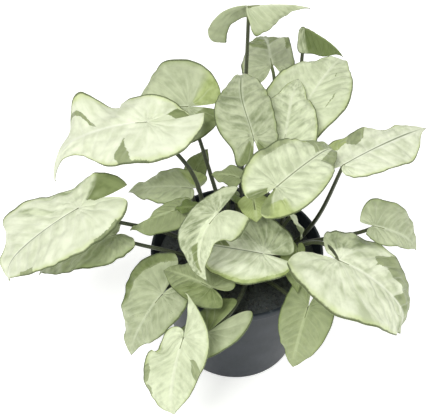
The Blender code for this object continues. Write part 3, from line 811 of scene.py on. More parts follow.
class StalkShape(NodeShape):
    """A round stalk along a path, as thick as the path's own radius, with its length stored on it."""

    def __init__(self) -> None:
        """Build the tree."""
        super().__init__("stalk_shape")
        sides = self.given("Sides", "Int")
        material = self.given("Finish", "Material")
        share = self.node("GeometryNodeSplineParameter")
        path = self.node("GeometryNodeStoreNamedAttribute", {"data_type": "FLOAT", "domain": "POINT"},
                         {"Geometry": self.start(), "Name": "along", "Value": share})
        ring = self.node("GeometryNodeCurvePrimitiveCircle", {}, {"Resolution": sides, "Radius": 1.0})
        tube = self.node("GeometryNodeCurveToMesh", {}, {"Curve": path, "Profile Curve": ring,
                                                         "Scale": self.node("GeometryNodeInputRadius"),
                                                         "Fill Caps": True})
        self.close(self.node("GeometryNodeSetShadeSmooth", {}, {"Geometry": tube}), material)


CRUMB_BUMPS = 700.0


class CrumbShape(NodeShape):
    """Loose irregular crumbs, scattered on a surface and half sunk in it."""

    def __init__(self) -> None:
        """Build the tree."""
        super().__init__("crumb_shape")
        kinds = {"Density": "Float", "Seed": "Int", "Largest": "Float", "Smallest": "Float",
                 "Flatness": "Float", "Rounds": "Int", "Finish": "Material"}
        density, seed, largest, smallest, flatness, rounds, material = (
            self.given(name, kind) for name, kind in kinds.items())
        spots = self.node("GeometryNodeDistributePointsOnFaces", {},
                          {"Mesh": self.start(), "Density": density, "Seed": seed})
        lump = self.node("GeometryNodeMeshIcoSphere", {}, {"Radius": 1.0, "Subdivisions": rounds})
        turn = self.node("FunctionNodeRandomValue", {"data_type": "FLOAT_VECTOR"},
                         {"Max": (math.tau, math.tau, math.tau), "Seed": seed})
        low, high = (self.node("ShaderNodeCombineXYZ", {}, (size, size, size * flatness))
                     for size in (smallest, largest))
        size = self.node("FunctionNodeRandomValue", {"data_type": "FLOAT_VECTOR"},
                         {"Min": low, "Max": high, "Seed": seed + 1})
        facing = self.node("FunctionNodeEulerToRotation", {}, (turn,))
        placed = self.node("GeometryNodeInstanceOnPoints", {},
                           {"Points": spots, "Instance": lump, "Rotation": facing, "Scale": size})
        real = self.node("GeometryNodeRealizeInstances", {}, (placed,))
        rough = self.node("ShaderNodeTexNoise", {"noise_dimensions": "3D"},
                          {"Scale": CRUMB_BUMPS, "Detail": 1.0}, output=1)
        push = self.node("ShaderNodeVectorMath", {"operation": "SUBTRACT"}, (rough, (0.5, 0.5, 0.5)))
        push = self.node("ShaderNodeVectorMath", {"operation": "SCALE"}, {0: push, "Scale": largest})
        bumpy = self.node("GeometryNodeSetPosition", {}, {"Geometry": real, "Offset": push})
        self.close(bumpy, material)


VEIN_SPACING = 0.135
VEIN_LEAN = 0.60
VEIN_CURVE = 0.90
FAN_RATE = 3.2
VEIN_SHIFT = 0.05
VEIN_WIDTH = 0.16
VEIN_TO_MARGIN = (0.5, 0.95)
VEIN_TO_TIP = (0.5, 0.9)
RIB_THINNING = 0.8
RIB_START = -0.02
QUILT_POWER = 0.8
QUILT_FROM_RIB = (0.0, 0.22)
QUILT_TO_MARGIN = (0.72, 1.0)
QUILT_TO_TIP = (0.6, 0.95)
SKIN_TO_MARGIN = (0.5, 1.0)
SWAY_WAVES = ((4.2, 1.0), (7.9, 1.6), (13.6, 3.0))
SWAY_TO_MARGIN = (0.35, 1.0)
SWAY_RISE = 5
SWAY_FALL = 6
DENT_WAVES = ((30.0, 1.0), (55.0, 0.6), (95.0, 0.25))
DENT_WARP = 0.6
DENT_SEED = 100
DENT_FROM_RIB = (0.01, 0.08)
DENT_TO_TIP = (0.7, 1)


@dataclass
class Blade:
    """The fine blade of one leaf: quilted between sunken veins above, with raised veins beneath."""

    leaf: Leaf
    number: int
    across: int = 34
    along: int = 84
    thickness: float = 0.00055
    margin_thickness: float = 0.00030
    quilt: float = 0.0011
    groove: float = 0.00035
    groove_width: float = 0.0011
    ridge: float = 0.00080
    side_ridge: float = 0.00022
    sway: float = 0.0006
    crumple: float = 0.0010
    full_size: float = 0.08

    def columns(self) -> Array:
        """Places from the right margin (-1) over the midrib (0) to the left one (1), closest at the rib."""
        even = np.linspace(-1, 1, 2 * self.across + 1)
        return even * (0.7 + 0.3 * np.abs(even))

    def grid(self) -> dict[str, Array]:
        """Lay out the blade.

        Returns:
            Arrays of rows by columns: the points, the flat places, and what the finish reads.
        """
        s, w = np.meshgrid(self.columns(), np.linspace(0, 1, self.along + 1))
        shape = s.shape
        s, w = s.ravel(), w.ravel()
        points, flat = np.zeros((len(s), 3)), np.zeros((len(s), 2))
        for side in Side:
            pick = s * side.value >= 0
            at = np.abs(s[pick])
            points[pick] = self.leaf.half_points(side, at, w[pick])
            flat[pick] = self.leaf.half(side).flat(self.leaf.length, at, w[pick])
        points = points @ self.leaf.frame().T + np.array(self.leaf.place)
        x, y = (flat / self.leaf.length).T
        return {"points": points.reshape(*shape, 3), "x": x.reshape(shape), "y": y.reshape(shape),
                "edge": np.abs(s).reshape(shape), "side": np.sign(s).reshape(shape),
                "along": w.reshape(shape)}

    @staticmethod
    def veins(x: Array, y: Array, side: Array) -> Array:
        """Scale that is constant along each lateral vein.

        Args:
            x: Place along the midrib, as a share of the blade's length.
            y: Place out from it, the same.
            side: 1 on the left and -1 on the right.

        Returns:
            0 at the stalk, rising towards the tip and falling into the lobes.
        """
        lean = VEIN_LEAN + VEIN_CURVE * y
        ahead = x - lean * y
        fan = -(np.arctan2(y, x) - np.arctan2(1.0, lean)) / FAN_RATE
        return np.where(ahead >= 0, ahead, fan) + VEIN_SHIFT * side * np.clip(5 * y, 0, 1)

    @staticmethod
    def normals(points: Array) -> Array:
        """Unit normals of a grid of points, on its upper side."""
        along, across = np.gradient(points, axis=0), np.gradient(points, axis=1)
        normal = np.cross(along, across)
        size = np.linalg.norm(normal, axis=-1, keepdims=True)
        normal /= np.maximum(size, 1e-12)
        normal[-1] = normal[-2].mean(axis=0) / np.linalg.norm(normal[-2].mean(axis=0))
        return normal

    def sway_at(self, edge: Array, along: Array) -> Array:
        """Gentle irregular waves of the margin, which differ from leaf to leaf."""
        turns = np.random.default_rng(self.number).uniform(0, math.tau, len(SWAY_WAVES))
        waves = sum(np.sin(math.tau * rate * along + turn) / weakness
                    for (rate, weakness), turn in zip(SWAY_WAVES, turns))
        fade = np.minimum(1, np.minimum(SWAY_RISE * along, SWAY_FALL * (1 - along)))
        return self.sway * waves * smooth(edge, *SWAY_TO_MARGIN) * fade

    def crumple_at(self, x: Array, y: Array) -> Array:
        """Irregular shallow dents, which differ from leaf to leaf."""
        draw = np.random.default_rng(self.number + DENT_SEED)
        relief = np.zeros_like(x)
        for rate, share in DENT_WAVES:
            turn, first, second = draw.uniform(0, math.tau, 3)
            along = (x * math.cos(turn) + y * math.sin(turn)) * self.leaf.length * math.tau * rate
            across = (y * math.cos(turn) - x * math.sin(turn)) * self.leaf.length * math.tau * rate
            relief += share * np.sin(along + first + np.sin(across * DENT_WARP)) * np.cos(across + second)
        return self.crumple * relief

    def build(self, finish: bpy.types.Material, stalk: bpy.types.Mesh) -> bpy.types.Object:
        """Make the leaf's piece, with its stalk in the same mesh.

        Args:
            finish: The blade's material.
            stalk: The stalk's mesh, which has its own material.

        Returns:
            The piece.
        """
        grid = self.grid()
        x, y, edge = grid["x"], grid["y"], grid["edge"]
        vein = self.veins(x, y, grid["side"])
        normal = self.normals(grid["points"])
        scale = min(1.0, self.leaf.length / self.full_size)
        near = np.abs(vein / VEIN_SPACING - np.round(vein / VEIN_SPACING)) * 2
        rib = np.exp(-(y * self.leaf.length / self.groove_width)**2)
        rib = rib * (1 - RIB_THINNING * np.clip(x, 0, 1)) * (x > RIB_START)
        calm = smooth(edge, *QUILT_FROM_RIB) * (1 - smooth(edge, *QUILT_TO_MARGIN))
        calm = calm * (1 - smooth(x, *QUILT_TO_TIP))
        side_vein = np.exp(-(near / VEIN_WIDTH)**2) * (1 - smooth(edge, *VEIN_TO_MARGIN))
        side_vein = side_vein * (1 - smooth(x, *VEIN_TO_TIP))
        dents = scale * self.crumple_at(x, y * grid["side"]) * smooth(np.abs(y), *DENT_FROM_RIB)
        upper = self.quilt * scale * (np.sin(np.pi / 2 * near)**QUILT_POWER - 0.5) * calm - self.groove * rib
        upper += scale * self.sway_at(edge, grid["along"])
        upper += dents * (1 - smooth(x, *DENT_TO_TIP))
        lower = upper - self.ridge * scale * rib - self.side_ridge * side_vein
        thinner = (self.margin_thickness - self.thickness) * smooth(edge, *SKIN_TO_MARGIN)
        half_skin = (self.thickness + thinner) / 2
        for depths in (upper, lower, half_skin):
            depths[-1] = depths[-1].mean()
        top = grid["points"] + normal * (upper + half_skin)[..., None]
        bottom = grid["points"] + normal * (lower - half_skin)[..., None]
        mesh = self.skin(top, bottom)
        values = {"vein": vein, "edge": edge, "side": grid["side"], "rib": y * self.leaf.length, "tip": x}
        values = {name: np.tile(value.ravel(), 2) for name, value in values.items()}
        values["under"] = np.repeat([0.0, 1.0], x.size)
        for name, value in values.items():
            layer = mesh.attributes.new(name, "FLOAT", "POINT")
            layer.data.foreach_set("value", value.astype(np.float32))
        self.lay_map(mesh, np.stack([y * grid["side"], x], -1).reshape(-1, 2))
        piece = mesh_object(f"blade_{self.number:02d}", mesh, finish)
        self.join(piece, stalk)
        return piece

    def skin(self, top: Array, bottom: Array) -> bpy.types.Mesh:
        """Close the upper and the lower grid into one mesh.

        Args:
            top: Rows by columns of upper points.
            bottom: The same of lower points.

        Returns:
            The mesh: the upper grid's points come first, and the rim joins the two.
        """
        rows, columns = top.shape[:2]
        index = np.arange(rows * columns).reshape(rows, columns)
        upper = np.stack([index[:-1, :-1], index[1:, :-1], index[1:, 1:], index[:-1, 1:]], -1).reshape(-1, 4)
        loop = np.concatenate([index[0, :-1], index[:-1, -1], index[-1, :0:-1], index[:0:-1, 0]])
        after = np.roll(loop, -1)
        rim = np.stack([loop, after, after + index.size, loop + index.size], -1)
        faces = np.concatenate([upper, upper[:, ::-1] + index.size, rim])
        mesh = bpy.data.meshes.new(f"blade_{self.number:02d}")
        mesh.from_pydata(np.concatenate([top, bottom]).reshape(-1, 3).tolist(), [], faces.tolist())
        return mesh

    @staticmethod
    def lay_map(mesh: bpy.types.Mesh, places: Array) -> None:
        """Store each point's flat place as the mesh's own map.

        Args:
            mesh: The blade's mesh, with the upper points first and as many lower ones after them.
            places: The flat place of each upper point.
        """
        loops = np.zeros(len(mesh.loops), np.int32)
        mesh.loops.foreach_get("vertex_index", loops)
        layer = mesh.uv_layers.new(name="flat_blade")
        layer.data.foreach_set("uv", places[loops % len(places)].astype(np.float32).ravel())

    @staticmethod
    def join(piece: bpy.types.Object, stalk: bpy.types.Mesh) -> None:
        """Add the stalk to the blade's mesh, merge the points that meet at the tip, and shade it smooth."""
        merge(piece.data)
        piece.data.shade_smooth()
        piece.data.set_sharp_from_angle(angle=SHARP_BLADE)
        both = [piece, linked("stalk", stalk)]
        with bpy.context.temp_override(active_object=piece, object=piece, selected_objects=both,
                                       selected_editable_objects=both):
            bpy.ops.object.join()


@dataclass(frozen=True)
class BladeFinish:
    """Paints one blade: mottled between its veins, greener at its margin, with its sharp sectors."""

    number: int
    look: Look
    roughness: float = 0.42
    # colour of the painted shade along the midrib's groove
    painted_rib_shade: str = "#6f7d52"
    speck: str = "#6a7550"
    hem: str = "#4f5b35"
    dry_tip: str = "#5d5e45"

    def sector(self, surface: Surface, patch: Patch, drift: Socket, jag: Socket) -> Socket:
        """Cover of one patch.

        Args:
            surface: The blade's material.
            patch: The patch.
            drift: Noise that bends its long edges.
            jag: Finer noise that frays its ends.

        Returns:
            1 inside it and 0 outside.
        """
        vein = surface.attribute("vein") + drift * 0.05 - 0.025
        edge = surface.attribute("edge") + jag * 0.10 - 0.05
        widest, middle = (patch.end - patch.start) / 2, (patch.end + patch.start) / 2
        reach = surface.step(edge, patch.inner, patch.inner + patch.wedge) * widest
        shift = (edge - 0.5) * patch.slant + middle
        cover = surface.step(abs(vein - shift), reach + patch.soft, reach - patch.soft)
        fade = 0.006 + 1.5 * patch.soft
        cover = cover * surface.step(edge, patch.inner - fade, patch.inner + fade)
        if patch.outer < 1:
            cover = cover * surface.step(edge, patch.outer + fade, patch.outer - fade)
        side = surface.attribute("side") * patch.side.value
        return cover * surface.step(side, -0.1, 0.1)

    def build(self) -> bpy.types.Material:
        """Make the material."""
        surface = Surface(f"blade_{self.number:02d}_skin")
        colours = self.look.tone.value
        vein, edge, rib, tip = (surface.attribute(name) for name in ("vein", "edge", "rib", "tip"))
        seed = float(self.number)
        drift = surface.noise(95.0, 2.0)
        jag = surface.noise(420.0, 3.0)
        cloud = surface.noise(48.0, 3.0)
        blot = surface.noise(135.0, 4.0, 0.6)
        streak = surface.noise(1.0, 3.0, 0.6, at=surface.vector(vein * 12.0, edge * 3.0, seed))
        phase = abs((vein / VEIN_SPACING + 0.5).math("FRACT") - 0.5)
        on_vein = surface.step(phase, 0.10, 0.02) * surface.step(edge, 0.95, 0.55)
        between = surface.step(phase, 0.05, 0.30)
        mottle = surface.step(streak * 0.45 + cloud * 0.4 + blot * 0.15, 0.38, 0.64) * (between * 0.3 + 0.7)
        colour = surface.mix(mottle * self.look.mottle, colours.ground, colours.shade)
        fringe = surface.step(edge + drift * 0.16 - 0.08, 1 - self.look.margin, 1.02)
        colour = surface.mix(fringe * 0.85, colour, colours.margin)
        for patch in self.look.patches:
            tone = patch.tone.value
            inside = surface.mix(surface.step(streak, 0.35, 0.7), tone.ground, tone.shade)
            colour = surface.mix(self.sector(surface, patch, drift, jag), colour, inside)
        colour = surface.mix(on_vein * 0.18, colour, colours.vein)
        rib_pale = surface.step(rib, 0.0020, 0.0007) * surface.step(tip, 1.0, 0.6)
        rib_pale = rib_pale * surface.step(tip, -0.05, 0.0)
        colour = surface.mix(rib_pale * 0.5, colour, colours.vein)
        # painted shade: a dark line along the midrib, where its groove lies in shade
        if self.look.painted_rib_shade:
            rib_groove_shade = surface.step(rib, 0.00055, 0.00025) * surface.step(tip, 0.98, 0.7)
            rib_groove_shade = rib_groove_shade * surface.step(tip, -0.02, 0.0)
            colour = surface.mix(rib_groove_shade * 0.85, colour, self.painted_rib_shade)
        if self.look.specks:
            speck = surface.cells(520.0, "F1")
            speck = surface.step(speck, 0.22, 0.12) * surface.step(surface.noise(60.0, 2.0), 0.48, 0.62)
            colour = surface.mix(speck * self.look.specks * 0.7, colour, self.speck)
        hem = surface.step(edge + jag * 0.04, 0.968, 1.000)
        colour = surface.mix(hem * 0.9, colour, self.hem)
        colour = surface.mix(surface.step(tip, 0.955, 1.0) * 0.8, colour, self.dry_tip)
        under = surface.attribute("under")
        beneath = surface.mix(on_vein * 0.3 + rib_pale * 0.4, colours.under, colours.margin)
        colour = surface.mix(under * self.look.under, colour, beneath)
        net = surface.step(surface.cells(900.0), 0.0, 0.16)
        height = net * 0.35 + surface.noise(2600.0, 2.0) * 0.2 + streak * 0.5 - on_vein * 0.4
        roughness = cloud * 0.16 + jag * 0.10 + (self.roughness - 0.13)
        return surface.dress(colour, roughness, height, 0.00022, Specular_IOR_Level=0.4)


@dataclass
class Foliage:
    """All the leaves."""

    stalk_steps: int = 46
    stalk_sides: int = 14
    small_blade: float = 0.042
    small_grid: tuple[int, int] = (16, 44)

    def stalk(self, leaf: Leaf, shape: StalkShape, finish: bpy.types.Material) -> bpy.types.Mesh:
        """Make one stalk.

        Args:
            leaf: The leaf that it carries.
            shape: The tree that makes stalks.
            finish: Their material.

        Returns:
            Its mesh.
        """
        points, radii = leaf.stalk_path(self.stalk_steps)
        curve = bpy.data.curves.new("stalk_path", "CURVE")
        curve.dimensions = "3D"
        spline = curve.splines.new("POLY")
        spline.points.add(len(points) - 1)
        for knot, point, radius in zip(spline.points, points, radii):
            knot.co = (*point, 1.0)
            knot.radius = radius
        return shape.run(linked("stalk_path", curve), Sides=self.stalk_sides, Finish=finish)

    def build(self) -> None:
        """Make every leaf's piece, each in the place of its node."""
        shape = StalkShape()
        green = StalkFinish().build()
        pieces = []
        for number, leaf in enumerate(LEAVES, 1):
            small = leaf.length <= self.small_blade
            blade = Blade(leaf, number, *self.small_grid) if small else Blade(leaf, number)
            finish = BladeFinish(number, LOOKS[number]).build()
            piece = blade.build(finish, self.stalk(leaf, shape, green))
            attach(piece, "root")
            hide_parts(f"leaf_{number:02d}")
            pieces.append(piece)
        LOG.info("%d leaves, %d faces", len(pieces), sum(len(piece.data.polygons) for piece in pieces))


@dataclass(frozen=True)
class StalkFinish:
    """Smooth stalks, nearly black olive low down and greener near the blade, with fine pale streaks."""

    low: str = "#2b2f24"
    middle: str = "#3f4530"
    high: str = "#7c8754"

    def build(self) -> bpy.types.Material:
        """Make the material."""
        surface = Surface("stalk_skin")
        along = surface.attribute("along")
        streaks = surface.noise(1.0, 3.0, at=surface.stretched(900.0, 900.0, 90.0))
        colour = surface.mix(surface.step(along, 0.05, 0.6), self.low, self.middle)
        colour = surface.mix(surface.step(along, 0.86, 0.99), colour, self.high)
        colour = surface.mix(surface.step(streaks, 0.5, 0.75) * 0.35, colour, self.high)
        return surface.dress(colour, streaks * 0.15 + 0.32, streaks, 0.0001)


@dataclass
class Stems:
    """The short canes that the stalks spring from, ringed where old leaves stood."""

    rise: float = 0.025
    depth: float = 0.035
    dome: float = 0.004
    crown: float = 0.0008
    crown_share: float = 0.6
    taper: float = 0.8
    ring_gap: float = 0.0062
    ring_height: float = 0.0002
    ring_width: float = 0.0006
    sides: int = 40
    steps: int = 56

    def radius(self, height: float) -> float:
        """Radius at a height over the mix, with its rings."""
        ring = math.exp(-((height % self.ring_gap - self.ring_gap / 2) / self.ring_width)**2)
        return STEM_RADIUS - self.ring_height + self.ring_height * ring

    def profile(self) -> Section:
        """Radius and height of the cane, from its crown down its side to its foot."""
        top, bottom = MIX_LEVEL + self.rise, MIX_LEVEL - self.depth
        points = [(0.0, top), (STEM_RADIUS * self.crown_share, top - self.crown)]
        for height in np.linspace(self.rise - self.dome, 0.0, self.steps).tolist():
            points.append((self.radius(height), MIX_LEVEL + height))
        return points + [(STEM_RADIUS * self.taper, bottom), (0.0, bottom)]

    def build(self) -> None:
        """Make each cane in the place of its node."""
        finish = StemFinish().build()
        for number, (x, y) in enumerate(STEM_PLACES, 1):
            cane = turned(f"cane_{number}", self.profile(), self.sides)
            cane.data.transform(Matrix.Translation((x, y, 0.0)))
            cane.data.materials.append(finish)
            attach(cane, "root")
            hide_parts(f"stem_{number}")
        LOG.info("%d canes", len(STEM_PLACES))


@dataclass(frozen=True)
class StemFinish:
    """Green canes, blotched with papery brown."""

    green: str = "#6b7446"
    brown: str = "#6a5638"

    def build(self) -> bpy.types.Material:
        """Make the material."""
        surface = Surface("cane_skin")
        grain = surface.noise(1.0, 4.0, at=surface.stretched(500.0, 500.0, 120.0))
        blotch = surface.noise(160.0, 3.0)
        colour = surface.mix(surface.step(blotch, 0.42, 0.62), self.green, self.brown)
        return surface.dress(colour, grain * 0.25 + 0.45, grain, 0.0003)


def turned(name: str, profile: Section, sides: int) -> bpy.types.Object:
    """Turn a profile round the Z axis into a smooth closed piece.

    Args:
        name: The piece's name.
        profile: Radius and height of each point, with the solid on its left.
        sides: Steps round the axis.

    Returns:
        The piece, with its Screw applied.
    """
    bm = bmesh.new()
    verts = [bm.verts.new((radius, 0.0, height)) for radius, height in profile]
    for first, second in zip(verts, verts[1:]):
        bm.edges.new((first, second))
    piece = mesh_object(name, to_mesh(name, bm))
    screw = piece.modifiers.new("Turn", "SCREW")
    screw.axis = "Z"
    screw.angle = math.tau
    screw.steps = sides
    screw.render_steps = sides
    screw.use_merge_vertices = True
    screw.merge_threshold = MERGE
    bake_in(piece)
    merge(piece.data, outwards=True)
    piece.data.shade_smooth()
    piece.data.set_sharp_from_angle(angle=SHARP_TURNED)
    return piece


def drill(piece: bpy.types.Object, places: list[tuple[float, float]], radius: float, bottom: float,
          top: float, sides: int) -> None:
    """Cut upright round holes in a piece.

    Args:
        piece: What is cut.
        places: Where each hole stands.
        radius: Radius of the holes.
        bottom: Height at which they start.
        top: Height at which they end.
        sides: Steps round each hole.
    """
    bm = bmesh.new()
    for x, y in places:
        made = bmesh.ops.create_cone(bm, cap_ends=True, segments=sides, radius1=radius, radius2=radius,
                                     depth=top - bottom)
        bmesh.ops.translate(bm, verts=made["verts"], vec=(x, y, (top + bottom) / 2))
    cutter = mesh_object("drill", to_mesh("drill", bm))
    cut = piece.modifiers.new("Drill", "BOOLEAN")
    cut.operation = "DIFFERENCE"
    cut.object = cutter
    bake_in(piece)
    bpy.data.objects.remove(cutter, do_unlink=True)


def arc(centre: tuple[float, float], radius: float, start: float, end: float, steps: int) -> Section:
    """Points of a round corner in a profile, with its angles in degrees."""
    turns = np.radians(np.linspace(start, end, steps))
    return [(centre[0] + radius * math.cos(t), centre[1] + radius * math.sin(t)) for t in turns]


@dataclass
class Pot:
    """The round tapered nursery pot, with its lip, its stacking step inside and drain holes in its base."""

    rim_radius: float = 0.076
    height: float = 0.120
    base_radius: float = 0.0557
    wall: float = 0.0015
    floor: float = 0.0020
    heel: float = 0.0025
    lip_height: float = 0.006
    lip_width: float = 0.0028
    lip_step: float = 0.002
    round_edge: float = 0.0009
    corner: float = 0.003
    wall_from: float = 0.01
    shoulder: float = 0.004
    shoulder_end: float = 0.001
    ledge_in: float = 0.0002
    ledge_rise: float = 0.0006
    under_lip: float = 0.0004
    heel_gap: float = 0.003
    middle: float = 0.03
    drain_holes: int = 6
    drain_radius: float = 0.0045
    drain_circle: float = 0.036
    drain_sides: int = 28
    sides: int = 160

    def outside(self, height: float) -> float:
        """Outer radius of the wall below the lip."""
        top = self.rim_radius - self.lip_step
        return self.base_radius + (top - self.base_radius) * height / (self.height - self.lip_height)

    def profile(self) -> Section:
        """The shell's section, from the middle of the floor up inside, over the lip and down outside."""
        foot = self.height - self.lip_height
        inner = self.rim_radius - self.lip_width
        edge, corner, ledge = self.round_edge, self.corner, self.ledge_rise
        low, high = self.heel + self.heel_gap, foot - self.shoulder
        points = [(0.0, self.floor), (self.outside(0) - self.wall - corner, self.floor)]
        points += arc((self.outside(corner) - self.wall - corner, self.floor + corner), corner, -80, 0, 6)
        heights = np.linspace(self.wall_from, high, 10)
        points += [(self.outside(height) - self.wall, height) for height in heights]
        points += [(self.outside(foot) - self.wall, foot - self.shoulder_end)]
        points += [(inner - self.ledge_in, foot + ledge)]
        points += arc((inner + edge, self.height - edge), edge, 180, 90, 5)
        points += arc((self.rim_radius - edge, self.height - edge), edge, 90, 0, 5)
        points += arc((self.rim_radius - edge / 2, foot + edge / 2), edge / 2, 0, -90, 4)
        points += [(self.outside(foot) + self.under_lip, foot), (self.outside(foot - ledge), foot - ledge)]
        points += [(self.outside(height), height) for height in np.linspace(high, low, 12)]
        points += arc((self.outside(self.heel) - self.heel, self.heel), self.heel, 0, -90, 7)
        return points + [(self.middle, 0.0), (0.0, 0.0)]

    def build(self) -> None:
        """Make the pot in the place of its node."""
        pot = turned("pot_shell", self.profile(), self.sides)
        angles = [math.tau * turn / self.drain_holes for turn in range(self.drain_holes)]
        circle = self.drain_circle
        places = [(circle * math.cos(angle), circle * math.sin(angle)) for angle in angles]
        drill(pot, places, self.drain_radius, -self.floor, 2 * self.floor, self.drain_sides)
        pot.data.materials.clear()
        pot.data.materials.append(PotFinish().build())
        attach(pot, "root")
        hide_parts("pot")
        LOG.info("pot, %d faces", len(pot.data.polygons))


@dataclass(frozen=True)
class PotFinish:
    """Dark grey moulded plastic: satin, finely grained, a little dusty near its lip and its foot."""

    body: str = "#2a3037"
    deep: str = "#20262b"
    dust: str = "#5a6064"

    def build(self) -> bpy.types.Material:
        """Make the material."""
        surface = Surface("pot_plastic_skin")
        cloud = surface.noise(38.0, 4.0)
        grain = surface.noise(1500.0, 2.0)
        drawn = surface.noise(1.0, 3.0, at=surface.stretched(260.0, 260.0, 18.0))
        height = surface.node("ShaderNodeSeparateXYZ", {}, (surface.place,), output="Z")
        colour = surface.mix(surface.step(cloud, 0.35, 0.7) * 0.5, self.body, self.deep)
        dusty = surface.step(surface.noise(120.0, 4.0, 0.7), 0.52, 0.75)
        places = surface.step(height, 0.106, 0.119) * 0.5 + surface.step(height, 0.012, 0.0) * 0.6
        colour = surface.mix(dusty * places, colour, self.dust)
        colour = surface.mix(surface.step(drawn, 0.6, 0.8) * 0.14, colour, self.dust)
        roughness = cloud * 0.12 + drawn * 0.10 + dusty * places * 0.2 + 0.36
        return surface.dress(colour, roughness, grain * 0.6 + drawn * 0.4, 0.00006, Specular_IOR_Level=0.22)


@dataclass
class PottingMix:
    """The plug of potting mix, with loose bark, coir and perlite lying in its top."""

    level: float = MIX_LEVEL
    edge: float = 0.0700
    shelf: float = 0.0006
    shelf_drop: float = 0.0004
    corner_radius: float = 0.0538
    corner: float = 0.004
    base_radius: float = 0.0505
    base: float = 0.0023
    lumps: float = 0.001
    grit: float = 0.0006
    flat_rim: float = 0.006
    top_band: float = 0.0002
    clear: float = 0.003
    steepest: float = 0.3
    hole: float = 0.0050
    hole_depth: float = 0.0353
    hole_sides: int = 40
    rings: int = 46
    sides: int = 120

    def surface_height(self, x: Array, y: Array) -> Array:
        """Height of the lumpy top over the level."""
        broad = np.sin(200 * x) * np.cos(200 * y) + np.sin(330 * (x + y)) / 2
        fine = np.sin(930 * x + 2 * np.sin(610 * y)) * np.sin(870 * y + 2 * np.sin(540 * x))
        return self.lumps * broad + self.grit * fine

    def build(self) -> None:
        """Make the plug and its crumbs in the place of the plug's node."""
        radii = np.linspace(0, self.edge, self.rings)
        profile = [(float(radius), self.level) for radius in radii]
        profile += [(self.edge + self.shelf, self.level - self.shelf_drop),
                    (self.corner_radius, self.base + self.corner),
                    (self.base_radius, self.base), (0.0, self.base)]
        plug = turned("mix_plug", profile, self.sides)
        verts = plug.data.vertices
        places = np.zeros(len(verts) * 3)
        verts.foreach_get("co", places)
        places = places.reshape(-1, 3)
        on_top = places[:, 2] > self.level - self.top_band
        x, y = places[on_top, 0], places[on_top, 1]
        fade = 1 - smooth(np.hypot(x, y), self.edge - self.flat_rim, self.edge)
        places[on_top, 2] += self.surface_height(x, y) * fade
        verts.foreach_set("co", places.ravel())
        plug.data.update()
        drill(plug, STEM_PLACES, self.hole, self.level - self.hole_depth, self.level + self.hole,
              self.hole_sides)
        plug.data.materials.clear()
        plug.data.materials.append(MixFinish("mix_ground", "#3a3f40", "#4e5253").build())
        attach(plug, "root")
        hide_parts("potting_mix")
        self.scatter(plug)
        LOG.info("potting mix, %d faces", len(plug.data.polygons))

    def ground(self, plug: bpy.types.Object) -> bpy.types.Object:
        """The open part of the plug's top, clear of its holes and its edge, for the crumbs to lie on."""
        bm = bmesh.new()
        bm.from_mesh(plug.data)
        low, outer = self.level - self.clear, self.edge - self.clear
        hidden = []
        for face in bm.faces:
            centre = face.calc_center_median()
            if face.normal.z < self.steepest or centre.z < low or centre.xy.length > outer:
                hidden.append(face)
        bmesh.ops.delete(bm, geom=hidden, context="FACES")
        return mesh_object("ground", to_mesh("ground", bm))

    def scatter(self, plug: bpy.types.Object) -> None:
        """Scatter bark, coir crumbs and a little perlite on the plug, each kind in one piece."""
        shape = CrumbShape()
        inputs = ("Density", "Seed", "Largest", "Smallest", "Flatness", "Rounds")
        kinds = {
            "mix_bark": (MixFinish("bark_skin", "#3a3c3b", "#545654"),
                         26000.0, 3, 0.0024, 0.0011, 0.45, 1),
            "mix_crumbs": (MixFinish("crumb_skin", "#333736", "#454847"),
                           120000.0, 7, 0.0012, 0.0005, 0.8, 1),
            "mix_perlite": (MixFinish("perlite_skin", "#72706a", "#585651"),
                            900.0, 11, 0.0011, 0.0006, 0.85, 2),
        }
        for name, (finish, *values) in kinds.items():
            mesh = shape.run(self.ground(plug), **dict(zip(inputs, values)), Finish=finish.build())
            mesh.name = name
            piece = mesh_object(name, mesh)
            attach(piece, "root")
            LOG.info("%s, %d faces", name, len(mesh.polygons))


@dataclass(frozen=True)
class MixFinish:
    """A rough, crumbly finish in two earthy colours."""

    name: str
    dark: str
    light: str

    def build(self) -> bpy.types.Material:
        """Make the material."""
        surface = Surface(self.name)
        crumb = surface.noise(620.0, 5.0, 0.65)
        cloud = surface.noise(90.0, 3.0)
        colour = surface.mix(surface.step(crumb * 0.7 + cloud * 0.3, 0.38, 0.66), self.dark, self.light)
        return surface.dress(colour, crumb * 0.2 + 0.72, crumb, 0.0006)


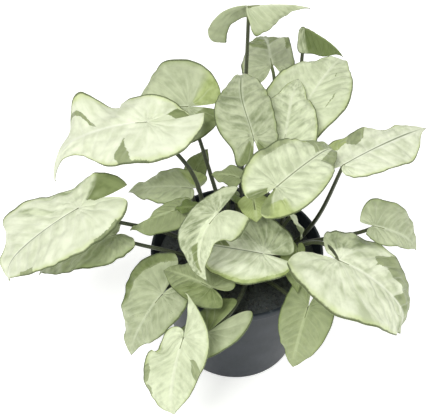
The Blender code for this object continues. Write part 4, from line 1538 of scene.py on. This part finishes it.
@dataclass
class Studio:
    """The pale floor, the soft lights and the camera."""

    camera_place: tuple[float, float, float] = (0.0, -0.5295, 0.7197)
    pitch: float = -46.17
    yaw: float = -2.19
    lens: float = 76.26
    sensor: float = 36.0
    aim: tuple[float, float, float] = (0.0, 0.0, 0.15)
    floor_size: float = 3.0
    floor_colour: str = "#fdfdfc"
    floor_glow: float = 0.5
    daylight: float = 0.40

    def light(self, name: str, place: tuple[float, float, float], size: float, power: float) -> None:
        """Add a square soft light that faces the plant.

        Args:
            name: Its name.
            place: Where it is.
            size: The length of its sides.
            power: Its power in watts.
        """
        lamp = bpy.data.lights.new(name, "AREA")
        lamp.shape = "SQUARE"
        lamp.size = size
        lamp.energy = power
        holder = linked(name, lamp)
        holder.location = place
        holder.rotation_euler = (Vector(self.aim) - Vector(place)).to_track_quat("-Z", "Y").to_euler()

    def build(self) -> None:
        """Set up the stage."""
        bm = bmesh.new()
        bmesh.ops.create_grid(bm, x_segments=2, y_segments=2, size=self.floor_size)
        skin = Surface("floor_skin").dress(self.floor_colour, 0.9, Emission_Strength=self.floor_glow)
        floor = mesh_object("floor", to_mesh("floor", bm), skin)
        world = bpy.data.worlds.new("studio")
        world.use_nodes = True
        backdrop = world.node_tree.nodes["Background"]
        backdrop.inputs["Color"].default_value = (1.0, 1.0, 1.0, 1.0)
        backdrop.inputs["Strength"].default_value = self.daylight
        bpy.context.scene.world = world
        self.light("key", (-0.35, -0.75, 1.35), 0.5, 12.0)
        self.light("fill", (1.0, -0.6, 1.0), 1.2, 5.5)
        self.light("back", (0.2, 1.3, 1.4), 1.0, 4.0)
        data = bpy.data.cameras.new("camera")
        data.lens = self.lens
        data.sensor_width = self.sensor
        data.dof.use_dof = False
        camera = linked("camera", data)
        pitch, yaw = math.radians(self.pitch), math.radians(self.yaw)
        view = Vector((math.sin(yaw) * math.cos(pitch), math.cos(yaw) * math.cos(pitch), math.sin(pitch)))
        camera.location = self.camera_place
        camera.rotation_euler = view.to_track_quat("-Z", "Y").to_euler()
        bpy.context.scene.camera = camera
        bpy.context.scene.view_settings.view_transform = "Standard"


def main() -> None:
    """Load the frame, build the plant around it and set the stage."""
    logging.basicConfig(level=logging.INFO, format="%(name)s: %(message)s")
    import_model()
    Pot().build()
    PottingMix().build()
    Stems().build()
    Foliage().build()
    Studio().build()


if __name__ == "__main__":
    main()
